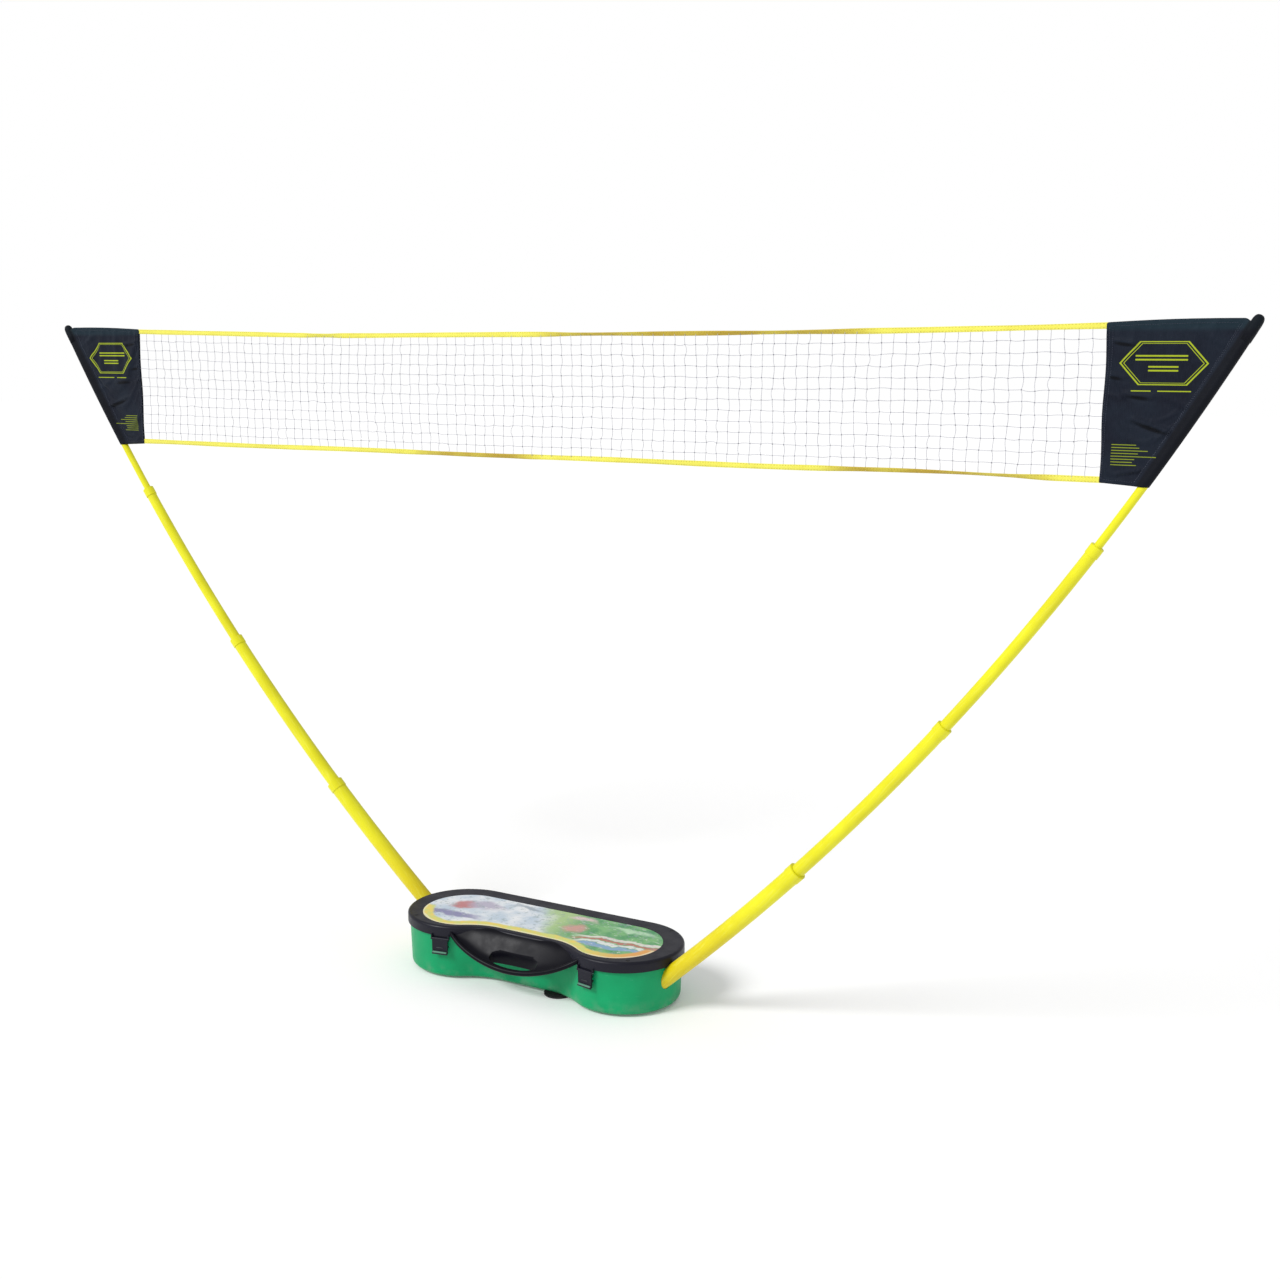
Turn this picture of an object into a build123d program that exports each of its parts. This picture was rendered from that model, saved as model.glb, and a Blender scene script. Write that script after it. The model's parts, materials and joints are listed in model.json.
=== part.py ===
"""Free-standing net on two bowed telescopic poles, with a carry-case base.

Units are millimetres.  +X runs along the net, +Y towards the back of the case and +Z is up.
The origin lies on the floor, at the middle of the case, in the plane of the net.
"""
from build123d import *
from math import atan2, cos, degrees, radians, sin, sqrt
import os

# ---------------------------------------------------------------- driving dimensions
# Case outline, seen from above: two round lobes, a straight back and a hollow waist in front.
LOBE_X = 228.0            # centre of each lobe, left and right
LOBE_Y = -12.5
RIM_LOBE_R = 140.0        # lid rim
RIM_WAIST_Y = -106.0
RIM_WAIST_R = 145.0
FOOT_HEIGHT = 5.0
CASE_TOP_Z = 120.0
CASE_TOP_INSET = 5.0      # from the rim outline to the case wall
CASE_BOTTOM_INSET = 9.0
CASE_WALL = 3.2
CASE_BOTTOM_FILLET = 12.0

# Lid
LID_TOP_Z = 136.3
RIM_BOTTOM_Z = 111.3
RIM_WALL = 3.0
DECK = 3.5
RIM_FILLET = 7.0
LABEL_LOBE_X = 215.5
LABEL_LOBE_Y = -24.5
LABEL_LOBE_R = 106.5
LABEL_WAIST_Y = -89.0
LABEL_WAIST_R = 150.0
LABEL_RECESS = 1.6
LABEL_THICK = 1.4

# Carry handle: a dished scoop from the waist of the lid down to a grip bar
HANDLE_HALF_SPAN = 176.0
HANDLE_STEPS = 8
HANDLE_CLEARANCE = 2.0    # between the handle and the case wall below the rim
GRIP_R = 6.5
SCOOP_THICK = 3.6
GRIP_Y = -150.0           # grip bar at its two ends
GRIP_Z = 121.0
GRIP_BOW_OUT = 16.0       # how much further forward and down its middle is
GRIP_BOW_DOWN = 53.5
SCOOP_BACK_OUT = 5.0      # from the label's waist to the scoop's back edge
SCOOP_BACK_BOW = 20.0
SCOOP_DISH = ((0, 0), (0.2, 0.09), (0.4, 0.36), (0.6, 0.74), (0.8, 0.96), (1, 1))
SLOT_LENGTH = 128.0
SLOT_WIDTH = 24.0
SLOT_Y = -143.0
SLOT_LOW_Z = 40.0
SLOT_TALL = 70.0

# Poles: four telescopic sections on one arc, section 1 plugged into the case
POLE_FOOT_X = 360.0
POLE_FOOT_Y = -42.0       # right pole; the left pole is the right one turned half round Z
POLE_FOOT_Z = 85.5
POLE_TIP_X = 1525.0
FOOT_SLOPE = 41.92        # degrees above the floor at the pole's foot
BOW_RADIUS = 5620.0
JOINT_AT = [427.0, 900.6, 1378.8]   # arc lengths from the foot to the section joints
POLE_END = 1876.0
SECTION_R = [19.5, 15.8, 12.8, 8.5]
TUBE_WALL = 1.6
SOCKET_DEPTH = 78.0
SOCKET_R = SECTION_R[0] + 3.6
SOCKET_BORE_CLEARANCE = 0.4
POLE_HOLE_CLEARANCE = 0.8
RIB_X = (306.0, 330.0)    # ribs that stand under each socket
RIB_THICK = 4.0
RIB_TALL = 50.0
SOCKET_BASE_X = 312.0
SOCKET_BASE_LENGTH = 68.0
SOCKET_BASE_WIDTH = 62.0
SOCKET_BASE_THICK = 3.0
SOCKET_SCREW_X = 286.0
SOCKET_SCREW_OFFSET = 26.0
SCREW_HEAD_R = 4.0
SCREW_HEAD_TALL = 2.4
OVERLAP = 55.0            # length of each section that stays inside the one below
BUSHING_LENGTH = 48.0
SLIDE_GAP = 0.35
COLLAR_STEP = 1.5
COLLAR_LENGTH = 18.0
COLLAR_LIP = 4.0
PLUG_LENGTH = 16.0        # plug in the lower end of section 1
PLUG_WALL = 3.0
TIP_CAP_TALL = 8.0        # cap on the upper end of section 4
TIP_CAP_STEM = 14.0
TIP_CAP_CROWN = 3.0

# Net
NET_END_X = 1258.0        # inner edge of each end sleeve
TOP_TAPE_Z = 1540.6
BOTTOM_TAPE_Z = 1253.1
TAPE_WIDTH = 12.0
TAPE_THICK = 2.4
MESH_THICK = 1.2
SLEEVE_GAP = 0.6          # between the net and the sleeve's inner edge
SLEEVE_THICK = 3.0
SLEEVE_FROM = 1522.0      # arc length at the sleeve's lower hem
POCKET_R = 11.0
POCKET_BORE_R = 9.0
POCKET_PAST_TIP = 4.0
HEM_DROP = 4.0            # the sleeve's lower hem, below the pole's axis
TOP_EDGE_DROP = 2.0       # the sleeve's top edge at the tip, below the pole's axis

# Latches
LATCH_X = 203.0
LATCH_WIDTH = 40.0
LATCH_AXIS_Z = 104.5
LATCH_AXIS_OUT = 1.6
LATCH_BOTTOM_Z = 66.0
LATCH_BARREL_R = 3.2
LATCH_LUG_WIDTH = 3.0
LATCH_LUG_GAP = 0.5       # between the latch and the ear beside it
CATCH_Z = 86.5            # ridge on the case that the latch snaps under
CATCH_TALL = 5.0
CATCH_OUT = -2.0          # how far out it reaches, from the rim outline
CATCH_ROOT = 12.0
NIB_TALL = 3.0
NIB_GAP = 0.4
PIN_R = 1.5
PIN_CLEARANCE = 0.08

# Lid hinges
HINGE_X = 130.0
HINGE_Y = 136.5
HINGE_Z = 108.0
HINGE_BARREL_R = 4.0
HINGE_HALF_WIDTH = 25.0
HINGE_MIDDLE = 12.0
HINGE_GAP = 0.4

# Feet
PAD_PLACES = ((-268.0, 62.0), (268.0, 62.0), (-268.0, -88.0), (268.0, -88.0), (0.0, 0.0))
PAD_R = 16.0
FRONT_FOOT_AT = (86.0, -80.0)
FRONT_FOOT_R = 34.0
FRONT_FOOT_NECK_R = 31.0

# Lid screws, on a ring round each lobe
SCREW_RING_R = 126.5
SCREW_ANGLE = 57.5
LID_SCREW_R = 4.5
LID_SCREW_DEEP = 1.5
LID_SCREW_TALL = 1.2
LID_SCREW_SLOT = (5.6, 1.2)

os.makedirs("parts", exist_ok=True)


def save(part, label):
    """Write one labelled sub-part."""
    part.label = label
    export_step(part, f"parts/{label}.step")


# ---------------------------------------------------------------- outlines
def kidney(lobe_x, lobe_y, lobe_r, waist_y, waist_r):
    """Closed kidney outline of six tangent edges, drawn in the current sketch."""
    reach = lobe_r + waist_r
    rise = lobe_y - waist_y + waist_r
    hollow_x = lobe_x - sqrt(reach**2 - rise**2)
    hollow_y = waist_y - waist_r
    slope = degrees(atan2(rise, lobe_x - hollow_x))
    with BuildLine() as outline:
        CenterArc((lobe_x, lobe_y), lobe_r, slope - 180, 270 - slope)
        Line((lobe_x, lobe_y + lobe_r), (-lobe_x, lobe_y + lobe_r))
        CenterArc((-lobe_x, lobe_y), lobe_r, 90, 270 - slope)
        CenterArc((-hollow_x, hollow_y), waist_r, 180 - slope, slope - 90)
        Line((-hollow_x, waist_y), (hollow_x, waist_y))
        CenterArc((hollow_x, hollow_y), waist_r, 90, slope - 90)
    make_face(outline.edges())


def rim_outline(inset):
    """The lid rim's outline moved inwards by inset."""
    kidney(LOBE_X, LOBE_Y, RIM_LOBE_R - inset, RIM_WAIST_Y + inset, RIM_WAIST_R + inset)


def label_outline(inset):
    """The label's outline moved inwards by inset."""
    kidney(LABEL_LOBE_X, LABEL_LOBE_Y, LABEL_LOBE_R - inset,
           LABEL_WAIST_Y + inset, LABEL_WAIST_R + inset)


# ---------------------------------------------------------------- bowed pole geometry
POLE_SKEW = degrees(atan2(-POLE_FOOT_Y, POLE_TIP_X - POLE_FOOT_X))
ALONG = Vector(cos(radians(POLE_SKEW)), sin(radians(POLE_SKEW)), 0)
ACROSS = Vector(-sin(radians(POLE_SKEW)), cos(radians(POLE_SKEW)), 0)
FOOT = Vector(POLE_FOOT_X, POLE_FOOT_Y, POLE_FOOT_Z)
BOW_CENTRE = (FOOT - ALONG * (BOW_RADIUS * sin(radians(FOOT_SLOPE)))
              + Vector(0, 0, BOW_RADIUS * cos(radians(FOOT_SLOPE))))
BOW_AXIS = Axis(BOW_CENTRE, -ACROSS)


def slope_at(distance):
    """Slope of the pole, in degrees, at an arc length from its foot."""
    return FOOT_SLOPE + degrees(distance / BOW_RADIUS)


def point_at(distance):
    """Point on the pole's axis at an arc length from its foot."""
    slope = radians(slope_at(distance))
    return BOW_CENTRE + ALONG * (BOW_RADIUS * sin(slope)) - Vector(0, 0, BOW_RADIUS * cos(slope))


def plane_at(distance):
    """Plane square to the pole at an arc length from its foot."""
    slope = radians(slope_at(distance))
    tangent = ALONG * cos(slope) + Vector(0, 0, sin(slope))
    return Plane(origin=point_at(distance), x_dir=ACROSS, z_dir=tangent)


def bowed_ring(start, end, outer_r, inner_r=0.0, mode=Mode.ADD):
    """Tube, or rod, that follows the bow from start to end, in the current part."""
    with BuildSketch(plane_at(start)) as ring:
        Circle(outer_r)
        if inner_r > 0:
            Circle(inner_r, mode=Mode.SUBTRACT)
    turn = degrees((end - start) / BOW_RADIUS)
    revolve(ring.sketch, axis=BOW_AXIS, revolution_arc=turn, mode=mode)


def save_pair(part, name):
    """Write the right-hand piece, and the left-hand one turned half round Z."""
    save(part, name.format("right"))
    save(part.rotate(Axis.Z, 180), name.format("left"))


# ---------------------------------------------------------------- case
with BuildPart() as case_outer:
    with BuildSketch(Plane.XY.offset(FOOT_HEIGHT)):
        rim_outline(CASE_BOTTOM_INSET)
    with BuildSketch(Plane.XY.offset(CASE_TOP_Z)):
        rim_outline(CASE_TOP_INSET)
    loft(ruled=True)
    fillet(case_outer.faces().sort_by(Axis.Z)[0].edges(), radius=CASE_BOTTOM_FILLET)

with BuildPart() as case_cavity:
    with BuildSketch(Plane.XY.offset(FOOT_HEIGHT + CASE_WALL)):
        rim_outline(CASE_BOTTOM_INSET + CASE_WALL)
    with BuildSketch(Plane.XY.offset(CASE_TOP_Z + 1)):
        rim_outline(CASE_TOP_INSET + CASE_WALL)
    loft(ruled=True)
    fillet(case_cavity.faces().sort_by(Axis.Z)[0].edges(), radius=CASE_BOTTOM_FILLET - CASE_WALL)

with BuildPart() as pole_hole:
    bowed_ring(-SOCKET_DEPTH, 60, SECTION_R[0] + POLE_HOLE_CLEARANCE)


def wall_plane(side, z):
    """Plane on the rim outline at a latch: X along the wall and Z straight out."""
    turn = radians(side * degrees(atan2(LOBE_X - LATCH_X, RIM_LOBE_R)))
    outward = Vector(-sin(turn), -cos(turn), 0)
    origin = Vector(side * LOBE_X, LOBE_Y, z) + outward * RIM_LOBE_R
    return Plane(origin=origin, x_dir=Vector(cos(turn), -sin(turn), 0), z_dir=outward)


with BuildPart() as case_shell:
    add(case_outer.part)
    for side in (-1, 1):
        with BuildSketch(wall_plane(side, CATCH_Z).offset(-CATCH_ROOT)):
            Rectangle(LATCH_WIDTH - 4, CATCH_TALL, align=(Align.CENTER, Align.MIN))
        extrude(amount=CATCH_ROOT + CATCH_OUT)
    add(case_cavity.part, mode=Mode.SUBTRACT)
    add(pole_hole.part, mode=Mode.SUBTRACT)
    add(pole_hole.part.rotate(Axis.Z, 180), mode=Mode.SUBTRACT)
save(case_shell.part, "case_shell")

# ---------------------------------------------------------------- pole sockets inside the case
with BuildPart() as socket_form:
    bowed_ring(-SOCKET_DEPTH - SOCKET_BASE_THICK, 30, SOCKET_R)
    for rib_x in RIB_X:
        with BuildSketch(Plane(origin=(rib_x, POLE_FOOT_Y, 0), x_dir=(0, 1, 0), z_dir=(1, 0, 0))):
            Rectangle(SOCKET_BASE_WIDTH, RIB_TALL, align=(Align.CENTER, Align.MIN))
        extrude(amount=RIB_THICK / 2, both=True)
    with BuildSketch(Plane.XY.offset(FOOT_HEIGHT + CASE_WALL)):
        with Locations((SOCKET_BASE_X, POLE_FOOT_Y)):
            Rectangle(SOCKET_BASE_LENGTH, SOCKET_BASE_WIDTH)
    extrude(amount=SOCKET_BASE_THICK)
    bowed_ring(-SOCKET_DEPTH, 60, SECTION_R[0] + SOCKET_BORE_CLEARANCE, mode=Mode.SUBTRACT)

for name, turn in (("right", 0), ("left", 180)):
    with BuildPart() as pole_socket:
        add(socket_form.part.rotate(Axis.Z, turn))
        add(case_cavity.part, mode=Mode.INTERSECT)
    save(pole_socket.part, f"pole_socket_{name}")

with BuildPart() as socket_screws:
    head_z = FOOT_HEIGHT + CASE_WALL + SOCKET_BASE_THICK
    for side in (-1, 1):
        for dy in (-SOCKET_SCREW_OFFSET, SOCKET_SCREW_OFFSET):
            with BuildSketch(Plane.XY.offset(head_z)):
                with Locations((side * SOCKET_SCREW_X, side * POLE_FOOT_Y + dy)):
                    Circle(SCREW_HEAD_R)
            extrude(amount=SCREW_HEAD_TALL)
    fillet(socket_screws.faces().group_by(Axis.Z)[-1].edges(), radius=1.2)
save(socket_screws.part, "socket_screws")

# ---------------------------------------------------------------- feet
with BuildPart() as floor_pads:
    with BuildSketch():
        with Locations(*PAD_PLACES):
            Circle(PAD_R)
    extrude(amount=FOOT_HEIGHT)
    chamfer(floor_pads.faces().group_by(Axis.Z)[0].edges(), length=1.0)
save(floor_pads.part, "floor_pads")

with BuildPart() as front_foot:
    with BuildSketch():
        with Locations(FRONT_FOOT_AT):
            Circle(FRONT_FOOT_R)
    extrude(amount=FOOT_HEIGHT)
    with BuildSketch(Plane.XY.offset(FOOT_HEIGHT)):
        with Locations(FRONT_FOOT_AT):
            Circle(FRONT_FOOT_NECK_R)
    extrude(amount=FOOT_HEIGHT / 2)
    add(case_outer.part, mode=Mode.SUBTRACT)
    fillet(front_foot.faces().group_by(Axis.Z)[0].edges(), radius=1.2)
save(front_foot.part, "front_foot")

# ---------------------------------------------------------------- poles
TUBE_START = [-SOCKET_DEPTH] + [joint - OVERLAP for joint in JOINT_AT]
TUBE_END = JOINT_AT + [POLE_END - TIP_CAP_TALL]

for number in range(4):
    outer_r = SECTION_R[number]
    with BuildPart() as section:
        bowed_ring(TUBE_START[number], TUBE_END[number], outer_r, outer_r - TUBE_WALL)
    save_pair(section.part, "pole_{}_section_%d" % (number + 1))

# A collar closes the upper end of sections 1 to 3 round the next section.
for number in range(3):
    end = TUBE_END[number]
    collar_r = SECTION_R[number] + COLLAR_STEP
    with BuildPart() as collar:
        bowed_ring(end - COLLAR_LENGTH, end, collar_r, SECTION_R[number])
        bore_r = SECTION_R[number + 1] + SLIDE_GAP
        bowed_ring(end, end + COLLAR_LIP - 1, collar_r, bore_r)
        bowed_ring(end + COLLAR_LIP - 1, end + COLLAR_LIP, collar_r - 1, bore_r)
    save_pair(collar.part, "pole_{}_collar_%d" % (number + 1))

# A bushing round the lower end of sections 2 to 4 guides it in the section below.
for number in range(1, 4):
    start = TUBE_START[number]
    bushing_r = SECTION_R[number - 1] - TUBE_WALL - SLIDE_GAP
    with BuildPart() as bushing:
        bowed_ring(start, start + BUSHING_LENGTH, bushing_r, SECTION_R[number])
    save_pair(bushing.part, "pole_{}_bushing_%d" % (number + 1))

with BuildPart() as end_plug:
    plug_r = SECTION_R[0] - TUBE_WALL
    plug_end = PLUG_LENGTH - SOCKET_DEPTH
    bowed_ring(-SOCKET_DEPTH, plug_end, plug_r)
    bowed_ring(PLUG_WALL - SOCKET_DEPTH, plug_end + 1, plug_r - PLUG_WALL, mode=Mode.SUBTRACT)
save_pair(end_plug.part, "pole_{}_end_plug")

with BuildPart() as tip_cap:
    crown_start = POLE_END - TIP_CAP_CROWN
    bowed_ring(TUBE_END[3] - TIP_CAP_STEM, TUBE_END[3], SECTION_R[3] - TUBE_WALL)
    bowed_ring(TUBE_END[3], crown_start, SECTION_R[3])
    bowed_ring(crown_start, POLE_END, SECTION_R[3] - TIP_CAP_CROWN)
save_pair(tip_cap.part, "pole_{}_tip_cap")

# ---------------------------------------------------------------- end sleeves of the net
hem_foot = point_at(SLEEVE_FROM)
tip = point_at(POLE_END)
with BuildPart() as sleeve:
    with BuildSketch(Plane.XZ):
        with BuildLine():
            Polyline(
                (NET_END_X, TOP_TAPE_Z + TAPE_WIDTH / 2),
                (NET_END_X, BOTTOM_TAPE_Z - TAPE_WIDTH / 2),
                (hem_foot.X, hem_foot.Z - HEM_DROP),
                (tip.X, tip.Z - TOP_EDGE_DROP),
                close=True,
            )
        make_face()
    extrude(amount=SLEEVE_THICK / 2, both=True)
    bowed_ring(SLEEVE_FROM, POLE_END + POCKET_PAST_TIP, POCKET_R)
    bowed_ring(SLEEVE_FROM - 10, POLE_END + 0.5, POCKET_BORE_R, mode=Mode.SUBTRACT)
save_pair(sleeve.part, "net_sleeve_{}")

# ---------------------------------------------------------------- net
net_half = NET_END_X - SLEEVE_GAP
mesh_z = (TOP_TAPE_Z + BOTTOM_TAPE_Z) / 2
mesh_tall = TOP_TAPE_Z - BOTTOM_TAPE_Z - TAPE_WIDTH
for label, z, tall, thick in (
    ("net_top_tape", TOP_TAPE_Z, TAPE_WIDTH, TAPE_THICK),
    ("net_bottom_tape", BOTTOM_TAPE_Z, TAPE_WIDTH, TAPE_THICK),
    ("net_mesh", mesh_z, mesh_tall, MESH_THICK),
):
    with BuildPart() as band:
        with BuildSketch(Plane.XZ):
            with Locations((0, z)):
                Rectangle(2 * net_half, tall)
        extrude(amount=thick / 2, both=True)
    save(band.part, label)

# ---------------------------------------------------------------- lid
lid_screw_places = [
    (side * (LOBE_X + SCREW_RING_R * cos(radians(SCREW_ANGLE))),
     LOBE_Y + end * SCREW_RING_R * sin(radians(SCREW_ANGLE)))
    for side in (-1, 1) for end in (-1, 1)
]


def grip_point(share):
    """Centre of the grip bar; share runs from -1 to 1 across the handle."""
    bow = 1 - share**2
    return Vector(share * HANDLE_HALF_SPAN, GRIP_Y - GRIP_BOW_OUT * bow, GRIP_Z - GRIP_BOW_DOWN * bow)


def scoop_section(share):
    """Side view of scoop and grip bar at one place across the handle, as a closed sketch."""
    grip = grip_point(share)
    back_y = LABEL_WAIST_Y - SCOOP_BACK_OUT - SCOOP_BACK_BOW * share**2
    front_y = grip.Y + GRIP_R * 0.4
    drop = grip.Z + GRIP_R * 0.4 - LID_TOP_Z
    top = [(back_y + (front_y - back_y) * a, LID_TOP_Z + drop * b) for a, b in SCOOP_DISH]
    bar = [(grip.Y + GRIP_R * cos(radians(angle)), grip.Z + GRIP_R * sin(radians(angle)))
           for angle in (90, 135, 180, 225, 270, 315)]
    bottom = [(y, z - SCOOP_THICK) for y, z in reversed(top)]
    plane = Plane(origin=(grip.X, 0, 0), x_dir=(0, 1, 0), z_dir=(1, 0, 0))
    with BuildSketch(plane) as section:
        with BuildLine() as outline:
            Polyline(*top, *bar, *bottom, close=True)
        make_face(outline.edges())
    return section.sketch


def latch_lug(side, along):
    """Ear under the rim that carries one end of a latch pin, in the current part."""
    plane = wall_plane(side, 0)
    lug_plane = Plane(origin=plane.from_local_coords(Vector(along - LATCH_LUG_WIDTH / 2, 0, 0)),
                      x_dir=plane.z_dir, z_dir=plane.x_dir)
    with BuildSketch(lug_plane) as lug:
        up = 1 if lug_plane.y_dir.Z > 0 else -1
        with Locations((LATCH_AXIS_OUT, up * LATCH_AXIS_Z)):
            Circle(LATCH_BARREL_R)
        with Locations((LATCH_AXIS_OUT / 2 - 0.7, up * (LATCH_AXIS_Z + 5))):
            Rectangle(LATCH_AXIS_OUT + 4, 10)
        with Locations((LATCH_AXIS_OUT, up * LATCH_AXIS_Z)):
            Circle(PIN_R, mode=Mode.SUBTRACT)
    extrude(lug.sketch, amount=LATCH_LUG_WIDTH)


with BuildPart() as lid_outer:
    with BuildSketch(Plane.XY.offset(RIM_BOTTOM_Z)):
        rim_outline(0)
    extrude(amount=LID_TOP_Z - RIM_BOTTOM_Z)
    fillet(lid_outer.faces().sort_by(Axis.Z)[-1].edges(), radius=RIM_FILLET)

handle_shares = [step / HANDLE_STEPS for step in range(-HANDLE_STEPS, HANDLE_STEPS + 1)]
with BuildPart() as carry_handle:
    loft([scoop_section(share) for share in handle_shares], ruled=True)
    with BuildSketch(Plane.XY.offset(SLOT_LOW_Z)):
        with Locations((0, SLOT_Y)):
            SlotOverall(SLOT_LENGTH, SLOT_WIDTH)
    extrude(amount=SLOT_TALL, mode=Mode.SUBTRACT)
    add(lid_outer.part, mode=Mode.SUBTRACT)
    with BuildSketch(Plane.XY.offset(RIM_BOTTOM_Z)):
        rim_outline(CASE_TOP_INSET - HANDLE_CLEARANCE)
    extrude(amount=-RIM_BOTTOM_Z / 2, mode=Mode.SUBTRACT)
save(carry_handle.part, "carry_handle")

with BuildPart() as lid_frame:
    add(lid_outer.part)
    with BuildSketch(Plane.XY.offset(RIM_BOTTOM_Z)):
        rim_outline(RIM_WALL)
    extrude(amount=LID_TOP_Z - DECK - RIM_BOTTOM_Z, mode=Mode.SUBTRACT)
    with BuildSketch(Plane.XY.offset(LID_TOP_Z)):
        label_outline(0)
    extrude(amount=-LABEL_RECESS, mode=Mode.SUBTRACT)
    with BuildSketch(Plane.XY.offset(LID_TOP_Z)):
        with Locations(*lid_screw_places):
            Circle(LID_SCREW_R + 0.5)
    extrude(amount=-LID_SCREW_DEEP, mode=Mode.SUBTRACT)
    add(pole_hole.part, mode=Mode.SUBTRACT)
    add(pole_hole.part.rotate(Axis.Z, 180), mode=Mode.SUBTRACT)
    for side in (-1, 1):
        for end in (-1, 1):
            latch_lug(side, end * (LATCH_WIDTH / 2 + LATCH_LUG_GAP + LATCH_LUG_WIDTH / 2))
save(lid_frame.part, "lid_frame")

with BuildPart() as lid_label:
    with BuildSketch(Plane.XY.offset(LID_TOP_Z - LABEL_RECESS)):
        label_outline(0.3)
    extrude(amount=LABEL_THICK)
    fillet(lid_label.faces().sort_by(Axis.Z)[-1].edges(), radius=0.5)
save(lid_label.part, "lid_label")

with BuildPart() as lid_screws:
    with BuildSketch(Plane.XY.offset(LID_TOP_Z - LID_SCREW_DEEP)):
        with Locations(*lid_screw_places):
            Circle(LID_SCREW_R)
    extrude(amount=LID_SCREW_TALL)
    fillet(lid_screws.faces().group_by(Axis.Z)[-1].edges(), radius=0.7)
    with BuildSketch(Plane.XY.offset(LID_TOP_Z)):
        with Locations(*lid_screw_places):
            Rectangle(*LID_SCREW_SLOT)
            Rectangle(*reversed(LID_SCREW_SLOT))
    extrude(amount=-1.0, mode=Mode.SUBTRACT)
save(lid_screws.part, "lid_screws")

# ---------------------------------------------------------------- latches
for name, side in (("left", -1), ("right", 1)):
    hinge_plane = wall_plane(side, LATCH_AXIS_Z)
    side_plane = Plane(origin=hinge_plane.from_local_coords(Vector(0, 0, 0)),
                       x_dir=hinge_plane.z_dir, z_dir=hinge_plane.x_dir)
    up = 1 if side_plane.y_dir.Z > 0 else -1
    drop = LATCH_AXIS_Z - LATCH_BOTTOM_Z
    nib_top = LATCH_AXIS_Z - CATCH_Z + NIB_GAP
    inner_face = LATCH_AXIS_OUT - 1.6
    outer_face = LATCH_AXIS_OUT + 3.0
    with BuildPart() as latch:
        with BuildSketch(side_plane):
            with BuildLine():
                Polyline(
                    (inner_face - 0.8, 0),
                    (inner_face, -up * nib_top),
                    (CATCH_OUT - 2.6, -up * nib_top),
                    (CATCH_OUT - 2.0, -up * (nib_top + NIB_TALL)),
                    (inner_face, -up * (nib_top + NIB_TALL + 1)),
                    (inner_face + 0.4, -up * (drop - 4)),
                    (outer_face + 0.6, -up * drop),
                    (outer_face + 2.0, -up * (drop - 1.6)),
                    (outer_face - 0.8, -up * (drop - 8)),
                    (outer_face, 0),
                    close=True,
                )
            make_face()
            with Locations((LATCH_AXIS_OUT, 0)):
                Circle(LATCH_BARREL_R)
            with Locations((LATCH_AXIS_OUT, 0)):
                Circle(PIN_R + PIN_CLEARANCE, mode=Mode.SUBTRACT)
        extrude(amount=LATCH_WIDTH / 2, both=True)
    save(latch.part, f"latch_{name}")
    with BuildPart() as pin:
        with BuildSketch(side_plane):
            with Locations((LATCH_AXIS_OUT, 0)):
                Circle(PIN_R)
        extrude(amount=LATCH_WIDTH / 2 + LATCH_LUG_GAP + LATCH_LUG_WIDTH, both=True)
    save(pin.part, f"latch_pin_{name}")

# ---------------------------------------------------------------- lid hinges
back_y = LOBE_Y + RIM_LOBE_R
with BuildPart() as case_knuckles:
    for hinge_x in (-HINGE_X, HINGE_X):
        for end in (-1, 1):
            inner = hinge_x + end * (HINGE_MIDDLE + HINGE_GAP)
            outer = hinge_x + end * HINGE_HALF_WIDTH
            with BuildSketch(Plane(origin=(min(inner, outer), 0, 0), x_dir=(0, 1, 0), z_dir=(1, 0, 0))):
                with Locations((HINGE_Y, HINGE_Z)):
                    Circle(HINGE_BARREL_R)
                with BuildLine():
                    Polyline(
                        (back_y - 8, HINGE_Z - 22),
                        (back_y - 2.5, HINGE_Z - 22),
                        (back_y - 2.0, HINGE_Z - 9),
                        (HINGE_Y + 1, HINGE_Z - 3.9),
                        (HINGE_Y - 1, HINGE_Z + 1),
                        (HINGE_Y - 3.5, HINGE_Z - 0.5),
                        (back_y - 2.5, HINGE_Z + 1.0),
                        (back_y - 8, HINGE_Z + 1.0),
                        close=True,
                    )
                make_face()
                with Locations((HINGE_Y, HINGE_Z)):
                    Circle(PIN_R, mode=Mode.SUBTRACT)
            extrude(amount=abs(outer - inner))
    add(case_outer.part, mode=Mode.SUBTRACT)
save(case_knuckles.part, "hinge_case_knuckles")

with BuildPart() as lid_knuckles:
    for hinge_x in (-HINGE_X, HINGE_X):
        with BuildSketch(Plane(origin=(hinge_x, 0, 0), x_dir=(0, 1, 0), z_dir=(1, 0, 0))):
            with Locations((HINGE_Y, HINGE_Z)):
                Circle(HINGE_BARREL_R)
            with BuildLine():
                Polyline(
                    (back_y, RIM_BOTTOM_Z + 1),
                    (HINGE_Y - 3, HINGE_Z + 1),
                    (HINGE_Y + 3.5, HINGE_Z + 1.5),
                    (back_y + 3, RIM_BOTTOM_Z + 15),
                    (back_y, RIM_BOTTOM_Z + 16),
                    close=True,
                )
            make_face()
            with Locations((HINGE_Y, HINGE_Z)):
                Circle(PIN_R + PIN_CLEARANCE, mode=Mode.SUBTRACT)
        extrude(amount=HINGE_MIDDLE, both=True)
save(lid_knuckles.part, "hinge_lid_knuckles")

with BuildPart() as hinge_pins:
    for hinge_x in (-HINGE_X, HINGE_X):
        with BuildSketch(Plane(origin=(hinge_x, 0, 0), x_dir=(0, 1, 0), z_dir=(1, 0, 0))):
            with Locations((HINGE_Y, HINGE_Z)):
                Circle(PIN_R)
        extrude(amount=HINGE_HALF_WIDTH + 0.5, both=True)
save(hinge_pins.part, "hinge_pins")
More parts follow.
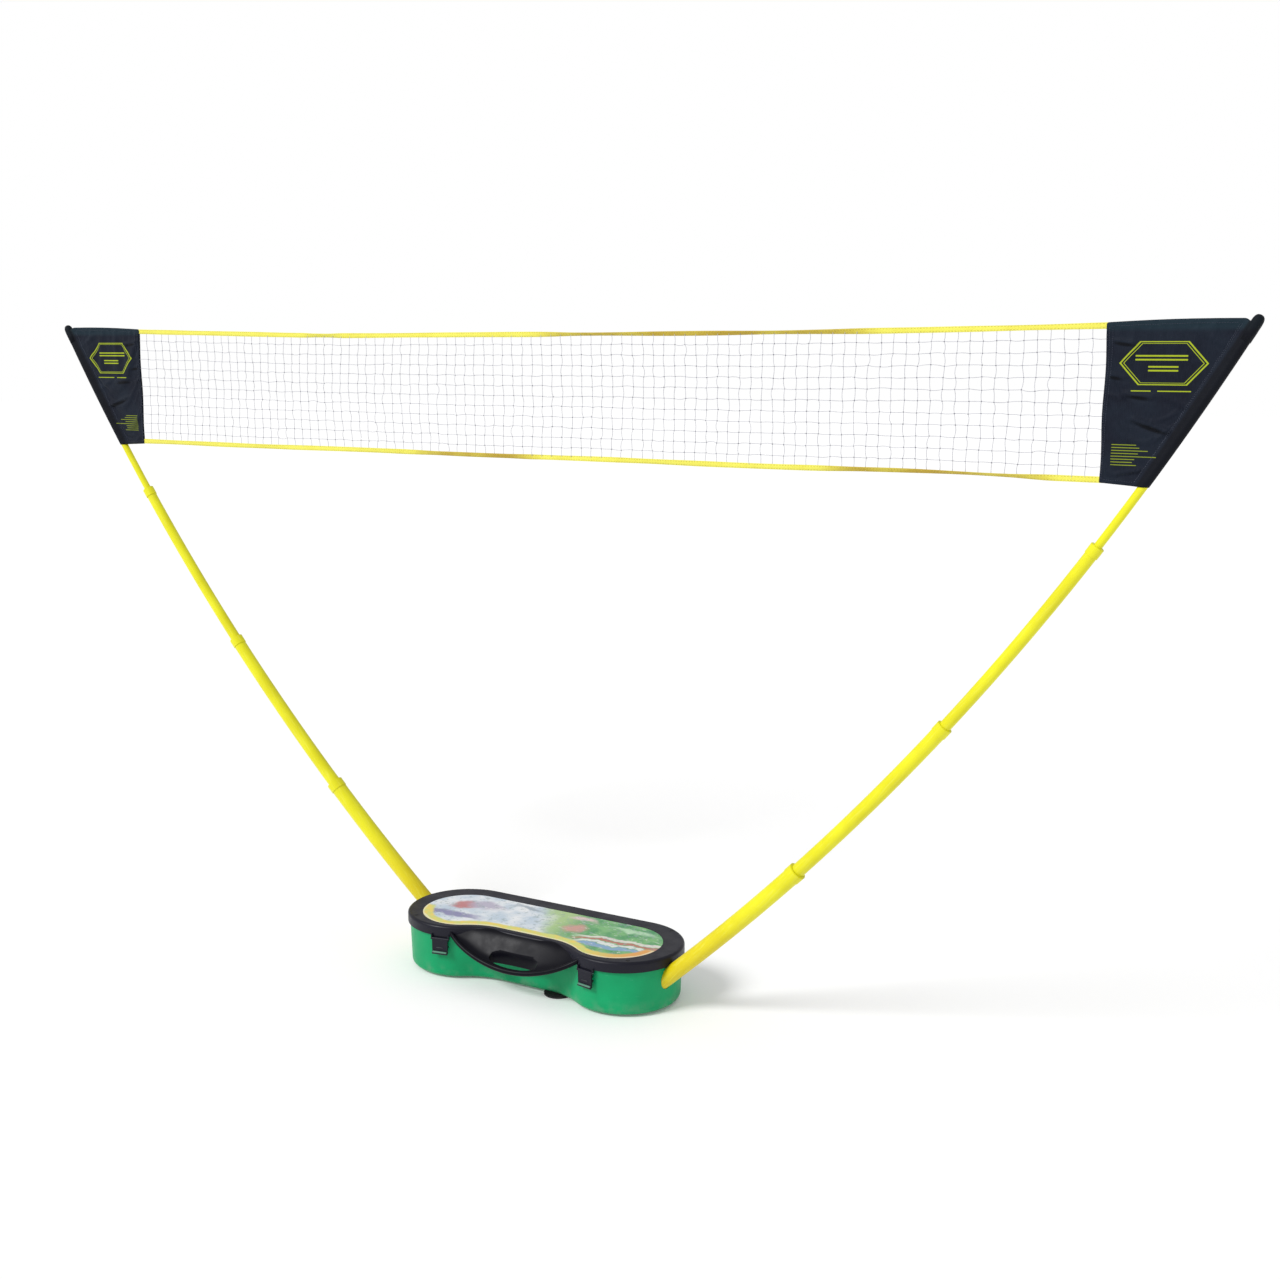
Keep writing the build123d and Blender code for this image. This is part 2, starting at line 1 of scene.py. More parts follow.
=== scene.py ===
"""Looks of the free-standing net: cloth, strings, tapes and materials round the fixed CAD frame.

Units are metres.  +X runs along the net, +Y towards the back of the case and +Z is up.
"""
import json
import math
from functools import partialmethod

import bmesh
import bpy
import numpy as np
from mathutils import Matrix, Vector


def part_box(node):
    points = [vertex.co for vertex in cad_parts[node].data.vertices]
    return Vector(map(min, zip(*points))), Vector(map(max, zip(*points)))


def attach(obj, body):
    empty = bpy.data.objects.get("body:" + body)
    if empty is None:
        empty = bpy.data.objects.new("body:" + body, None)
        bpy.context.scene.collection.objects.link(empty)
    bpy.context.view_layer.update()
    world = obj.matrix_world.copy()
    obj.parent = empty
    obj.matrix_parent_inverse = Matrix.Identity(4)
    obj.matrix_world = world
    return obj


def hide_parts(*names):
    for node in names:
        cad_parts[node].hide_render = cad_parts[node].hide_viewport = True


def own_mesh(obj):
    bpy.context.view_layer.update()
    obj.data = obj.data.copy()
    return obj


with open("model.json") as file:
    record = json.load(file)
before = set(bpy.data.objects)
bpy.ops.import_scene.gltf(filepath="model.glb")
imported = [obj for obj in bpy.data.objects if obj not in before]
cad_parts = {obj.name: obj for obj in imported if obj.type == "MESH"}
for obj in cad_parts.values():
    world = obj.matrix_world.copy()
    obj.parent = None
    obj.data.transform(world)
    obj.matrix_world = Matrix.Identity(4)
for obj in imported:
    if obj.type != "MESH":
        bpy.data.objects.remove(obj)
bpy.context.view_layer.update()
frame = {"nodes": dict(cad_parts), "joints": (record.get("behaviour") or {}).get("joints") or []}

MM = 0.001
rng = np.random.default_rng(7)
scene = bpy.context.scene
nodes = frame["nodes"]

# ---- places, from the frame
def joint_line(name):
    """Place and direction of one of the frame's joints."""
    joint = next(j for j in frame["joints"] if j["name"] == name)
    return np.array(joint["pos_m"]), np.array(joint["axis"])


BOW_CENTRE, ACROSS = joint_line("pole_right_slide_2")
ALONG = np.array([ACROSS[1], -ACROSS[0], 0.0])
UP = np.array([0.0, 0.0, 1.0])
BOW_RADIUS = 5.62
FOOT_SLOPE = math.radians(41.92)

NET_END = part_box("net_mesh")[1].x
TOP_TAPE_Z, BOTTOM_TAPE_Z = (sum(c.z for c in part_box(f"net_{end}_tape")) / 2 for end in ("top", "bottom"))
TAPE_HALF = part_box("net_top_tape")[1].z - TOP_TAPE_Z
LID_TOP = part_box("lid_frame")[1].z


# ---- mesh helpers
def new_piece(name, points, faces, materials=(), smooth=True):
    """A mesh object from points in the row frame and lists of corner numbers."""
    mesh = bpy.data.meshes.new(name)
    mesh.from_pydata([tuple(p) for p in points], [], faces)
    mesh.polygons.foreach_set("use_smooth", [smooth] * len(mesh.polygons))
    mesh.update()
    piece = bpy.data.objects.new(name, mesh)
    scene.collection.objects.link(piece)
    for material in materials:
        mesh.materials.append(material)
    return piece


def strand(path, radius, sides, axis_a, axis_b):
    """Points and faces of a thin tube along path, whose section lies in axis_a and axis_b."""
    path = np.asarray(path)
    turns = np.arange(sides) * 2 * math.pi / sides
    ring = radius * (np.outer(np.cos(turns), axis_a) + np.outer(np.sin(turns), axis_b))
    points = (path[:, None, :] + ring[None, :, :]).reshape(-1, 3)
    return points, grid_faces(len(path), sides, closed=True) + end_faces(len(points), sides)


def joined(parts):
    """One list of points and one of faces, from several."""
    points, faces, start = [], [], 0
    for part_points, part_faces in parts:
        points.extend(part_points)
        faces.extend(tuple(start + c for c in face) for face in part_faces)
        start += len(part_points)
    return points, faces


def ball(centre, radii):
    """Points and faces of a low ball with different radii along X, Y and Z."""
    g = (1 + math.sqrt(5)) / 2
    corners = np.array([(-1, g, 0), (1, g, 0), (-1, -g, 0), (1, -g, 0), (0, -1, g), (0, 1, g),
                        (0, -1, -g), (0, 1, -g), (g, 0, -1), (g, 0, 1), (-g, 0, -1), (-g, 0, 1)])
    faces = [(0, 11, 5), (0, 5, 1), (0, 1, 7), (0, 7, 10), (0, 10, 11), (1, 5, 9), (5, 11, 4),
             (11, 10, 2), (10, 7, 6), (7, 1, 8), (3, 9, 4), (3, 4, 2), (3, 2, 6), (3, 6, 8),
             (3, 8, 9), (4, 9, 5), (2, 4, 11), (6, 2, 10), (8, 6, 7), (9, 8, 1)]
    return corners / math.hypot(1, g) * np.array(radii) + centre, faces


def grid_faces(rows, columns, closed=False):
    """Quads of a grid of rows by columns, whose last column meets its first if closed."""
    faces = []
    for r in range(rows - 1):
        for c in range(columns if closed else columns - 1):
            n = (c + 1) % columns
            faces.append((r * columns + c, r * columns + n, (r + 1) * columns + n, (r + 1) * columns + c))
    return faces


def end_faces(total, ring):
    """The two faces that close a tube of total points, whose sections have ring points each."""
    return [tuple(reversed(range(ring))), tuple(range(total - ring, total))]


def turned(points):
    """Points turned half round Z, from the right-hand side to the left-hand one."""
    return np.asarray(points) * np.array([-1.0, -1.0, 1.0])


def apply_modifiers(piece):
    """Replace a piece's mesh by what its modifiers make of it."""
    evaluated = piece.evaluated_get(bpy.context.evaluated_depsgraph_get())
    mesh = bpy.data.meshes.new_from_object(evaluated)
    piece.modifiers.clear()
    piece.data = mesh


# ---- materials
class Paint:
    """A material being made: one Principled shader and the nodes that feed it."""

    def __init__(self, name, colour, roughness, specular=0.5, **sockets):
        self.material = bpy.data.materials.new(name)
        self.material.use_nodes = True
        self.nodes = self.material.node_tree.nodes
        self.links = self.material.node_tree.links
        self.shader = self.nodes["Principled BSDF"]
        self.feed("Base Color", colour)
        self.feed("Roughness", roughness)
        self.feed("Specular IOR Level", specular)
        for socket, value in sockets.items():
            self.feed(socket.replace("_", " "), value)
        self.place = self.nodes.new("ShaderNodeTexCoord").outputs["Object"]
        self.normal = None

    def feed(self, socket, value):
        """Set one of the shader's sockets, or link a node's output to it."""
        self.join(self.shader.inputs[socket], value)

    def join(self, socket, value):
        if isinstance(value, bpy.types.NodeSocket):
            self.links.new(value, socket)
        elif isinstance(value, (tuple, list)) and len(value) == 3 and len(socket.default_value) == 4:
            socket.default_value = (*value, 1)
        else:
            socket.default_value = value

    def math(self, operation, a, b=0.0):
        node = self.nodes.new("ShaderNodeMath")
        node.operation = operation
        self.join(node.inputs[0], a)
        self.join(node.inputs[1], b)
        return node.outputs[0]

    plus = partialmethod(math, "ADD")
    minus = partialmethod(math, "SUBTRACT")
    times = partialmethod(math, "MULTIPLY")
    over = partialmethod(math, "DIVIDE")
    largest = partialmethod(math, "MAXIMUM")
    size_of = partialmethod(math, "ABSOLUTE")

    def axes(self):
        """X, Y and Z of the place on the object, in metres."""
        node = self.nodes.new("ShaderNodeSeparateXYZ")
        self.join(node.inputs[0], self.place)
        return node.outputs

    def combine(self, x, y, z):
        node = self.nodes.new("ShaderNodeCombineXYZ")
        for socket, value in zip(node.inputs, (x, y, z)):
            self.join(socket, value)
        return node.outputs[0]

    def stretched(self, x, y, z):
        """The place on the object with each axis scaled."""
        node = self.nodes.new("ShaderNodeMapping")
        self.join(node.inputs["Vector"], self.place)
        node.inputs["Scale"].default_value = (x, y, z)
        return node.outputs[0]

    def step(self, value, low, high, start=0.0, end=1.0):
        """A smooth change from start to end as value goes from low to high."""
        node = self.nodes.new("ShaderNodeMapRange")
        node.interpolation_type = "SMOOTHSTEP"
        self.join(node.inputs["Value"], value)
        for socket, number in zip(("From Min", "From Max", "To Min", "To Max"), (low, high, start, end)):
            node.inputs[socket].default_value = number
        return node.outputs[0]

    def noise(self, scale, detail=4.0, rough=0.55, place=None):
        node = self.nodes.new("ShaderNodeTexNoise")
        self.join(node.inputs["Vector"], place or self.place)
        node.inputs["Scale"].default_value = scale
        node.inputs["Detail"].default_value = detail
        node.inputs["Roughness"].default_value = rough
        return node.outputs["Fac"]

    def mix(self, share, a, b):
        """Colour a where share is 0 and colour b where it is 1."""
        node = self.nodes.new("ShaderNodeMix")
        node.data_type = "RGBA"
        self.join(node.inputs["Factor"], share)
        self.join(node.inputs[6], a)
        self.join(node.inputs[7], b)
        return node.outputs[2]

    def bump(self, height, strength, depth):
        """Add relief; depth is the height in metres that 0 to 1 stands for."""
        node = self.nodes.new("ShaderNodeBump")
        node.inputs["Strength"].default_value = strength
        node.inputs["Distance"].default_value = depth
        self.join(node.inputs["Height"], height)
        if self.normal is not None:
            self.join(node.inputs["Normal"], self.normal)
        self.normal = node.outputs[0]
        self.feed("Normal", self.normal)

    def wave(self, value, pitch):
        """A sine of value that repeats every pitch metres, from 0 to 1."""
        swing = self.math("SINE", self.times(value, 2 * math.pi / pitch))
        return self.step(swing, -1, 1)


def moulded(name, colour, worn, roughness, specular, grain=0.00005):
    """Moulded plastic: fine grain, faint flow marks, scuffs and rubbed patches."""
    p = Paint(name, colour, roughness, specular)
    cloudy = p.step(p.noise(9, 3), 0.35, 0.7)
    shade = p.mix(cloudy, tuple(c * 0.9 for c in colour), tuple(min(1, c * 1.07) for c in colour))
    scuffs = p.step(p.noise(60, 5, 0.6, p.stretched(1.0, 1.0, 5.0)), 0.62, 0.74)
    patches = p.step(p.noise(5, 2), 0.5, 0.68)
    p.feed("Base Color", p.mix(p.times(p.times(scuffs, patches), 0.35), shade, worn))
    p.feed("Roughness", p.step(p.noise(26, 4), 0.3, 0.75, roughness - 0.05, roughness + 0.09))
    p.bump(p.noise(1500, 2, 0.5), 0.5, grain)
    p.bump(p.noise(14, 2, 0.4), 0.35, 0.0009)
    return p


def green_plastic():
    """Case shell: green, dustier towards the floor."""
    p = moulded("case_green", (0.001, 0.325, 0.122), (0.08, 0.42, 0.24), 0.42, 0.22)
    low = p.step(p.axes()[2], 0.005, 0.045, 0.5, 0.0)
    dust = p.times(low, p.step(p.noise(34, 5), 0.42, 0.7))
    colour = p.shader.inputs["Base Color"].links[0].from_socket
    p.feed("Base Color", p.mix(dust, colour, (0.16, 0.3, 0.2)))
    return p.material


def pole_yellow():
    """Poles: bright yellow with lengthwise rub marks from sliding, and painted shade in orange-gold towards
    their lower ends.
    """
    p = Paint("pole_yellow", (0.72, 0.66, 0.006), 0.4, 0.35)
    x, y, z = p.axes()
    side = p.size_of(x)
    slope = math.radians(51)  # of a pole's middle, above the floor
    along = p.plus(p.times(side, math.cos(slope)), p.times(z, math.sin(slope)))
    square = p.minus(p.times(z, math.cos(slope)), p.times(side, math.sin(slope)))
    lengthwise = p.combine(p.times(along, 0.06), y, square)
    streaks = p.step(p.noise(260, 4, 0.6, lengthwise), 0.5, 0.72)
    cloudy = p.step(p.noise(11, 3), 0.3, 0.72)
    pole_tone_and_shade = p.mix(cloudy, (0.72, 0.68, 0.006), (0.8, 0.78, 0.01))
    # Painted shade: the poles turn orange-gold towards their lower ends, near the case.
    pole_tone_and_shade = p.mix(p.step(z, 0.1, 0.34, 0.55, 0.0), pole_tone_and_shade, (0.66, 0.44, 0.004))
    rubbed = p.mix(p.times(streaks, 0.35), pole_tone_and_shade, (0.84, 0.82, 0.12))
    specks = p.step(p.noise(420, 3), 0.69, 0.76, 0.0, 0.5)
    p.feed("Base Color", p.mix(specks, rubbed, (0.42, 0.36, 0.03)))
    p.feed("Roughness", p.step(streaks, 0, 1, 0.36, 0.5))
    p.bump(p.noise(240, 3, 0.5, lengthwise), 0.25, 0.00015)
    p.bump(p.noise(1200, 2), 0.3, 0.00003)
    return p.material


def steel(name, clean, dull):
    """Plated screws and pins."""
    p = Paint(name, clean, 0.35, Metallic=1.0)
    spots = p.step(p.noise(500, 4), 0.4, 0.7)
    p.feed("Base Color", p.mix(spots, clean, dull))
    p.feed("Roughness", p.step(spots, 0, 1, 0.28, 0.52))
    p.bump(p.noise(1800, 2), 0.3, 0.00003)
    return p.material


def rubber():
    """Floor pads and foot: black rubber, dusty underneath."""
    p = Paint("rubber_black", (0.012, 0.013, 0.014), 0.75, 0.25)
    dust = p.step(p.noise(90, 5), 0.48, 0.75, 0.0, 0.5)
    p.feed("Base Color", p.mix(dust, (0.012, 0.013, 0.014), (0.07, 0.065, 0.06)))
    p.bump(p.noise(1100, 2), 0.6, 0.00008)
    return p.material


def string_yarn(name, clean, soiled):
    """Net string: pale grey twisted yarn."""
    p = Paint(name, clean, 0.75, 0.1)
    grime = p.step(p.noise(45, 4), 0.3, 0.75)
    p.feed("Base Color", p.mix(grime, clean, soiled))
    x, y, z = p.axes()
    twist = p.wave(p.plus(p.plus(x, z), p.times(y, 1.5)), 0.0011)
    p.bump(twist, 0.6, 0.00015)
    return p.material


def tape_cloth(name, rolls):
    """Woven tape: ribs across it, threads along it, and painted shade in duller gold where it has rolled over.
    """
    p = Paint(name, (0.8, 0.72, 0.05), 0.65, 0.15, Sheen_Weight=0.15)
    x, y, z = p.axes()
    ribs = p.wave(x, 0.0011)
    weave = p.times(ribs, p.wave(p.plus(z, y), 0.0009))
    tape_tone_and_shade = p.mix(p.step(p.noise(18, 4), 0.35, 0.75, 0.0, 0.6), (0.86, 0.82, 0.13), (0.78, 0.7, 0.08))
    # Painted shade: where the tape has rolled over, it turns a duller, darker gold.
    for start, end, ease in rolls:
        rolled = p.times(p.step(x, start, start + ease), p.step(x, end - ease, end, 1.0, 0.0))
        patchy = p.step(p.noise(9, 3), 0.3, 0.6, 0.55, 1.0)
        tape_tone_and_shade = p.mix(p.times(rolled, patchy), tape_tone_and_shade, (0.52, 0.36, 0.04))
    p.feed("Base Color", p.mix(p.times(weave, 0.2), tape_tone_and_shade, (0.44, 0.36, 0.03)))
    p.bump(weave, 0.7, 0.0002)
    p.bump(p.noise(120, 3), 0.4, 0.0004)
    return p.material


FOLDS = (  # from x, z to x, z, then depth and width in millimetres; the deepest four come first
    (1.3, 1.41, 1.346, 1.4045, 7.5, 6.5), (1.314, 1.362, 1.382, 1.34, 8.5, 7.5),
    (1.268, 1.509, 1.314, 1.503, 4.5, 6.0), (1.264, 1.446, 1.292, 1.441, 4.0, 6.0),
    (1.262, 1.409, 1.29, 1.402, 4.0, 6.0), (1.296, 1.262, 1.332, 1.268, 4.0, 6.0),
    (1.368, 1.404, 1.408, 1.386, 3.5, 9.0), (1.425, 1.522, 1.462, 1.5, 3.5, 9.0),
)


def crease_shade_mask(p, x, z):
    """1 along the deepest folds, fading out to both sides and at their ends: where the cloth gets painted
    crease shade.
    """
    mask = 0.0
    for x0, z0, x1, z1, _, width in FOLDS[:4]:
        length = math.hypot(x1 - x0, z1 - z0)
        along_x, along_z = (x1 - x0) / length, (z1 - z0) / length
        dx = p.minus(x, (x0 + x1) / 2)
        dz = p.minus(z, (z0 + z1) / 2)
        along = p.plus(p.times(dx, along_x), p.times(dz, along_z))
        off = p.minus(p.times(dz, along_x), p.times(dx, along_z))
        far = length_of(p, p.over(along, length / 2), p.over(off, width * MM * 0.75))
        mask = p.largest(mask, p.step(far, 0.35, 1.1, 1.0, 0.0))
    return mask


def nylon():
    """Sleeve cloth: near-black navy plain weave with a generic lime print, a painted sheen along its top hem,
    and painted shade along the pole's pocket and in its deepest folds.
    """
    p = Paint("sleeve_fabric", (0.007, 0.01, 0.022), 0.6, 0.1, Sheen_Weight=0.03)
    x, y, z = p.axes()
    side = p.size_of(x)
    cloudy = p.step(p.noise(14, 4), 0.3, 0.72)
    cloth = p.mix(cloudy, (0.005, 0.0065, 0.014), (0.008, 0.013, 0.023))
    threads = p.step(p.noise(700, 2, 0.5, p.combine(side, 0.0, p.times(z, 0.1))), 0.35, 0.7)
    cloth = p.mix(p.times(threads, 0.3), cloth, (0.016, 0.021, 0.036))
    # Painted sheen: lighter teal towards the top hem, where the cloth folds over.
    cloth = p.mix(p.step(z, INNER_TOP - 0.02, INNER_TOP - 0.008, 0.0, 0.6), cloth, (0.012, 0.03, 0.042))
    # Painted shade: near-black along the pocket round the pole.
    dx = p.minus(side, POLE_AT_SLEEVE[0])
    dz = p.minus(z, POLE_AT_SLEEVE[1])
    inboard = p.minus(p.times(dz, math.cos(SLEEVE_SLOPE)), p.times(dx, math.sin(SLEEVE_SLOPE)))
    cloth = p.mix(p.step(inboard, 0.012, 0.018, 0.75, 0.0), cloth, (0.0028, 0.003, 0.005))
    # Painted shade: darker along the deepest folds.
    cloth = p.mix(p.times(crease_shade_mask(p, side, z), 0.8), cloth, (0.0012, 0.0014, 0.0025))
    ink = p.times(print_mask(p, side, z), p.step(p.noise(900, 3), 0.25, 0.42, 0.55, 1.0))
    p.feed("Base Color", p.mix(ink, cloth, (0.36, 0.44, 0.02)))
    weave = p.times(p.wave(side, 0.0008), p.wave(z, 0.0008))
    p.bump(weave, 0.5, 0.00012)
    p.bump(p.noise(26, 4, 0.5, p.stretched(1.0, 1.0, 2.2)), 0.5, 0.003)
    return p.material


def bar_mask(p, x, z, centre, size):
    """1 inside an upright rectangle of that centre and (width, height), 0 outside it."""
    inside = 1.0
    for place, middle, whole in zip((x, z), centre, size):
        off = p.size_of(p.minus(place, middle))
        inside = p.times(inside, p.step(off, whole / 2 - BAR_EDGE, whole / 2 + BAR_EDGE, 1.0, 0.0))
    return inside


BAR_EDGE = 0.4 * MM
PRINT_CENTRE = (1.364, 1.4715)
PRINT_BARS = (  # centre from the print's own, and size
    ((-0.004, 0.0135), (0.094, 0.003)), ((-0.004, 0.0065), (0.094, 0.003)), ((0, -0.0065), (0.054, 0.003)),
    ((0, -0.0135), (0.054, 0.003)), ((-0.038, -0.051), (0.036, 0.002)), ((0.022, -0.051), (0.06, 0.002)),
)
TEXT_LINES = (0.046, 0.052, 0.068, 0.05, 0.084, 0.044, 0.04, 0.048)  # lengths, from the top line down
TEXT_LEFT, TEXT_TOP, TEXT_PITCH = 1.278, 1.32, 0.0054
POLE_AT_SLEEVE = (1.432, 1.3896)  # (x, z) of the pole's axis half way up the sleeve
SLEEVE_SLOPE = math.radians(59.25)
INNER_TOP = TOP_TAPE_Z + TAPE_HALF
INNER_BOTTOM = BOTTOM_TAPE_Z - TAPE_HALF


def print_mask(p, x, z):
    """Generic print: a long hexagon outline, plain bars inside it and a block of lines below."""
    wide = p.size_of(p.minus(x, PRINT_CENTRE[0]))
    tall = p.size_of(p.minus(z, PRINT_CENTRE[1]))
    slanted = p.plus(wide, p.times(tall, 0.9))
    size = p.largest(p.times(tall, 2.0), slanted)
    ring = p.times(p.step(size, 0.08, 0.0808, 1.0, 0.0), p.step(size, 0.0762, 0.077))
    inner = p.times(p.step(size, 0.0724, 0.0732, 1.0, 0.0), p.step(size, 0.0706, 0.0714))
    mask = p.largest(ring, inner)
    for centre, bar in PRINT_BARS:
        place = (PRINT_CENTRE[0] + centre[0], PRINT_CENTRE[1] + centre[1])
        mask = p.largest(mask, bar_mask(p, x, z, place, bar))
    for line, length in enumerate(TEXT_LINES):
        place = (TEXT_LEFT + length / 2, TEXT_TOP - line * TEXT_PITCH)
        mask = p.largest(mask, p.times(bar_mask(p, x, z, place, (length, 0.0014)), 0.7))
    return mask


LABEL_LOBE = (0.2155, -0.0245, 0.1065)  # x, y and radius of the label's round ends
LABEL_HOLLOW = (0.0749, -0.239, 0.15)  # and of the hollow arcs beside its waist
LABEL_SPOTS = (  # centre, radii, colour and softness of the edge
    ((-0.243, 0.004), (0.03, 0.024), (0.5, 0.12, 0.12), 0.35),
    ((-0.19, 0.02), (0.052, 0.024), (0.42, 0.38, 0.5), 0.45),
    ((-0.084, 0.057), (0.045, 0.008), (0.3, 0.36, 0.42), 0.6),
    ((0.07, 0.058), (0.034, 0.012), (0.75, 0.55, 0.55), 0.5),
    ((0.078, -0.006), (0.022, 0.024), (0.62, 0.3, 0.26), 0.45),
    ((0.225, 0.045), (0.06, 0.01), (0.45, 0.7, 0.45), 0.6),
)
LABEL_STRIPES = (  # middle and half width across the label, and colour
    (-0.02, 0.008, (0.78, 0.72, 0.68)),
    (-0.036, 0.007, (0.52, 0.1, 0.1)),
    (-0.052, 0.007, (0.8, 0.8, 0.8)),
    (-0.068, 0.008, (0.22, 0.36, 0.62)),
)


def length_of(p, x, y):
    """Length of the vector (x, y)."""
    return p.math("SQRT", p.plus(p.times(x, x), p.times(y, y)))


def label_print():
    """Lid label: pale sky, green field, yellow border and plain stripes, under clear film."""
    p = Paint("label_print", (0.6, 0.7, 0.7), 0.3, 0.3, Coat_Weight=0.3, Coat_Roughness=0.15)
    warp = p.noise(12, 3)
    x, y, z = p.axes()
    wx = p.plus(x, p.step(warp, 0, 1, -0.03, 0.03))
    wy = p.plus(y, p.step(p.noise(15, 3), 0, 1, -0.022, 0.022))
    sky = p.mix(p.step(p.noise(16, 5), 0.35, 0.65), (0.8, 0.82, 0.84), (0.5, 0.6, 0.7))
    grass = p.mix(p.step(p.noise(24, 5), 0.36, 0.66), (0.03, 0.27, 0.08), (0.17, 0.45, 0.15))
    lawn = p.mix(p.step(wx, 0.02, 0.1, 1.0, 0.0), grass, (0.38, 0.55, 0.22))
    art = p.mix(p.step(p.plus(wx, p.times(wy, 0.5)), -0.03, 0.03), sky, lawn)

    for place, radii, colour, soft in LABEL_SPOTS:
        far = length_of(p, p.over(p.minus(wx, place[0]), radii[0]), p.over(p.minus(wy, place[1]), radii[1]))
        art = p.mix(p.step(far, 1 - soft, 1 + soft, 0.9, 0.0), art, colour)

    stripe = p.minus(wy, p.times(p.minus(wx, 0.22), 0.12))
    right = p.step(x, 0.09, 0.14)
    for centre, half, colour in LABEL_STRIPES:
        off = p.size_of(p.minus(stripe, centre))
        band = p.times(p.step(off, half * 0.6, half * 1.2, 0.85, 0.0), right)
        art = p.mix(band, art, colour)
    left = p.step(wx, -0.13, -0.19)
    low = p.size_of(p.plus(wy, 0.062))
    art = p.mix(p.times(p.step(low, 0.01, 0.022, 0.85, 0.0), left), art, (0.16, 0.14, 0.34))

    # The border follows the label's front edge: two round lobes and the hollow waist between them.
    side = p.size_of(x)
    lobe_x = p.minus(side, LABEL_LOBE[0])
    lobe_y = p.minus(y, LABEL_LOBE[1])
    lobe = p.minus(LABEL_LOBE[2], length_of(p, lobe_x, lobe_y))
    waist_x = p.largest(p.minus(side, LABEL_HOLLOW[0]), 0.0)
    waist_y = p.minus(y, LABEL_HOLLOW[1])
    waist = p.minus(length_of(p, waist_x, waist_y), LABEL_HOLLOW[2])
    span = (LABEL_LOBE[0] - LABEL_HOLLOW[0], LABEL_LOBE[1] - LABEL_HOLLOW[1])
    beyond = p.minus(p.times(p.minus(side, LABEL_HOLLOW[0]), span[1]), p.times(waist_y, span[0]))
    on_lobe = p.step(beyond, -0.00001, 0.00001)
    edge = p.plus(p.times(lobe, on_lobe), p.times(waist, p.minus(1.0, on_lobe)))
    edge = p.plus(edge, p.step(p.noise(20, 2), 0, 1, -0.006, 0.006))
    art = p.mix(p.step(p.noise(85, 5, 0.65), 0.54, 0.64, 0.0, 0.6), art, (0.26, 0.34, 0.34))
    flecks = p.step(p.noise(120, 4, 0.6, p.stretched(0.5, 1.4, 1.0)), 0.6, 0.68, 0.0, 0.5)
    art = p.mix(flecks, art, (0.88, 0.88, 0.84))
    front = p.step(y, -0.03, -0.045)
    yellow = p.mix(p.step(p.noise(60, 4), 0.4, 0.6), (0.8, 0.62, 0.1), (0.62, 0.66, 0.16))
    yellow = p.mix(p.step(x, 0.16, 0.3), yellow, (0.75, 0.34, 0.06))
    art = p.mix(p.times(p.step(edge, 0.02, 0.028, 1.0, 0.0), front), art, yellow)
    art = p.mix(p.times(p.step(edge, 0.004, 0.007, 0.7, 0.0), front), art, (0.85, 0.8, 0.55))
    p.feed("Base Color", art)
    p.bump(p.noise(7, 2), 0.2, 0.0015)
    p.bump(p.noise(900, 2), 0.2, 0.00002)
    return p.material


def thread(name, colour):
    """Sewing thread."""
    p = Paint(name, colour, 0.6)
    x, y, z = p.axes()
    p.feed("Base Color", p.mix(p.step(p.noise(300, 3), 0.3, 0.7), colour, tuple(c * 0.6 for c in colour)))
    p.bump(p.wave(p.plus(x, z), 0.0005), 0.5, 0.0001)
    return p.material


GREEN = green_plastic()
BLACK = moulded("lid_black", (0.008, 0.008, 0.016), (0.05, 0.05, 0.065), 0.4, 0.22, 0.00008).material
YELLOW = pole_yellow()
# Painted shade: the handle's black is a darker copy of the lid's, for the shade in the scoop.
HANDLE_SHADED_BLACK = moulded("handle_black_painted_shade", (0.003, 0.003, 0.0062), (0.02, 0.02, 0.03), 0.34, 0.11, 0.00004).material
STEEL = steel("fastener_steel", (0.46, 0.46, 0.48), (0.25, 0.24, 0.23))
BLACK_STEEL = steel("fastener_black", (0.05, 0.05, 0.055), (0.02, 0.02, 0.02))
INNER = moulded("inner_plastic", (0.012, 0.012, 0.014), (0.07, 0.07, 0.07), 0.6, 0.2, 0.00006).material
RUBBER = rubber()
STRING = string_yarn("net_string", (0.58, 0.58, 0.63), (0.42, 0.42, 0.47))
KNOT = string_yarn("net_knot", (0.3, 0.3, 0.34), (0.18, 0.18, 0.21))
TOP_ROLLS = ((-0.72, -0.56, 0.06), (-0.04, 0.84, 0.14))
BOTTOM_ROLLS = ((-0.4, 0.02, 0.12), (0.66, 1.2, 0.12))
TAPE = {"top": tape_cloth("tape_top", TOP_ROLLS[1:]), "bottom": tape_cloth("tape_bottom", BOTTOM_ROLLS)}
NYLON = nylon()
LABEL = label_print()
# Painted highlight: pale green for the lit top of the catch ledge under each latch.
RIDGE_HIGHLIGHT = moulded("latch_ridge_highlight", (0.1, 0.24, 0.17), (0.3, 0.42, 0.36), 0.45, 0.3).material
DASH = moulded("latch_dash", (0.035, 0.04, 0.045), (0.12, 0.12, 0.13), 0.45, 0.3).material
NAVY_THREAD = thread("thread_navy", (0.06, 0.07, 0.11))
YELLOW_THREAD = thread("thread_yellow", (0.7, 0.62, 0.1))

def named(*words):
    """Every node whose name holds one of the words."""
    return [name for name in nodes if any(word in name for word in words)]


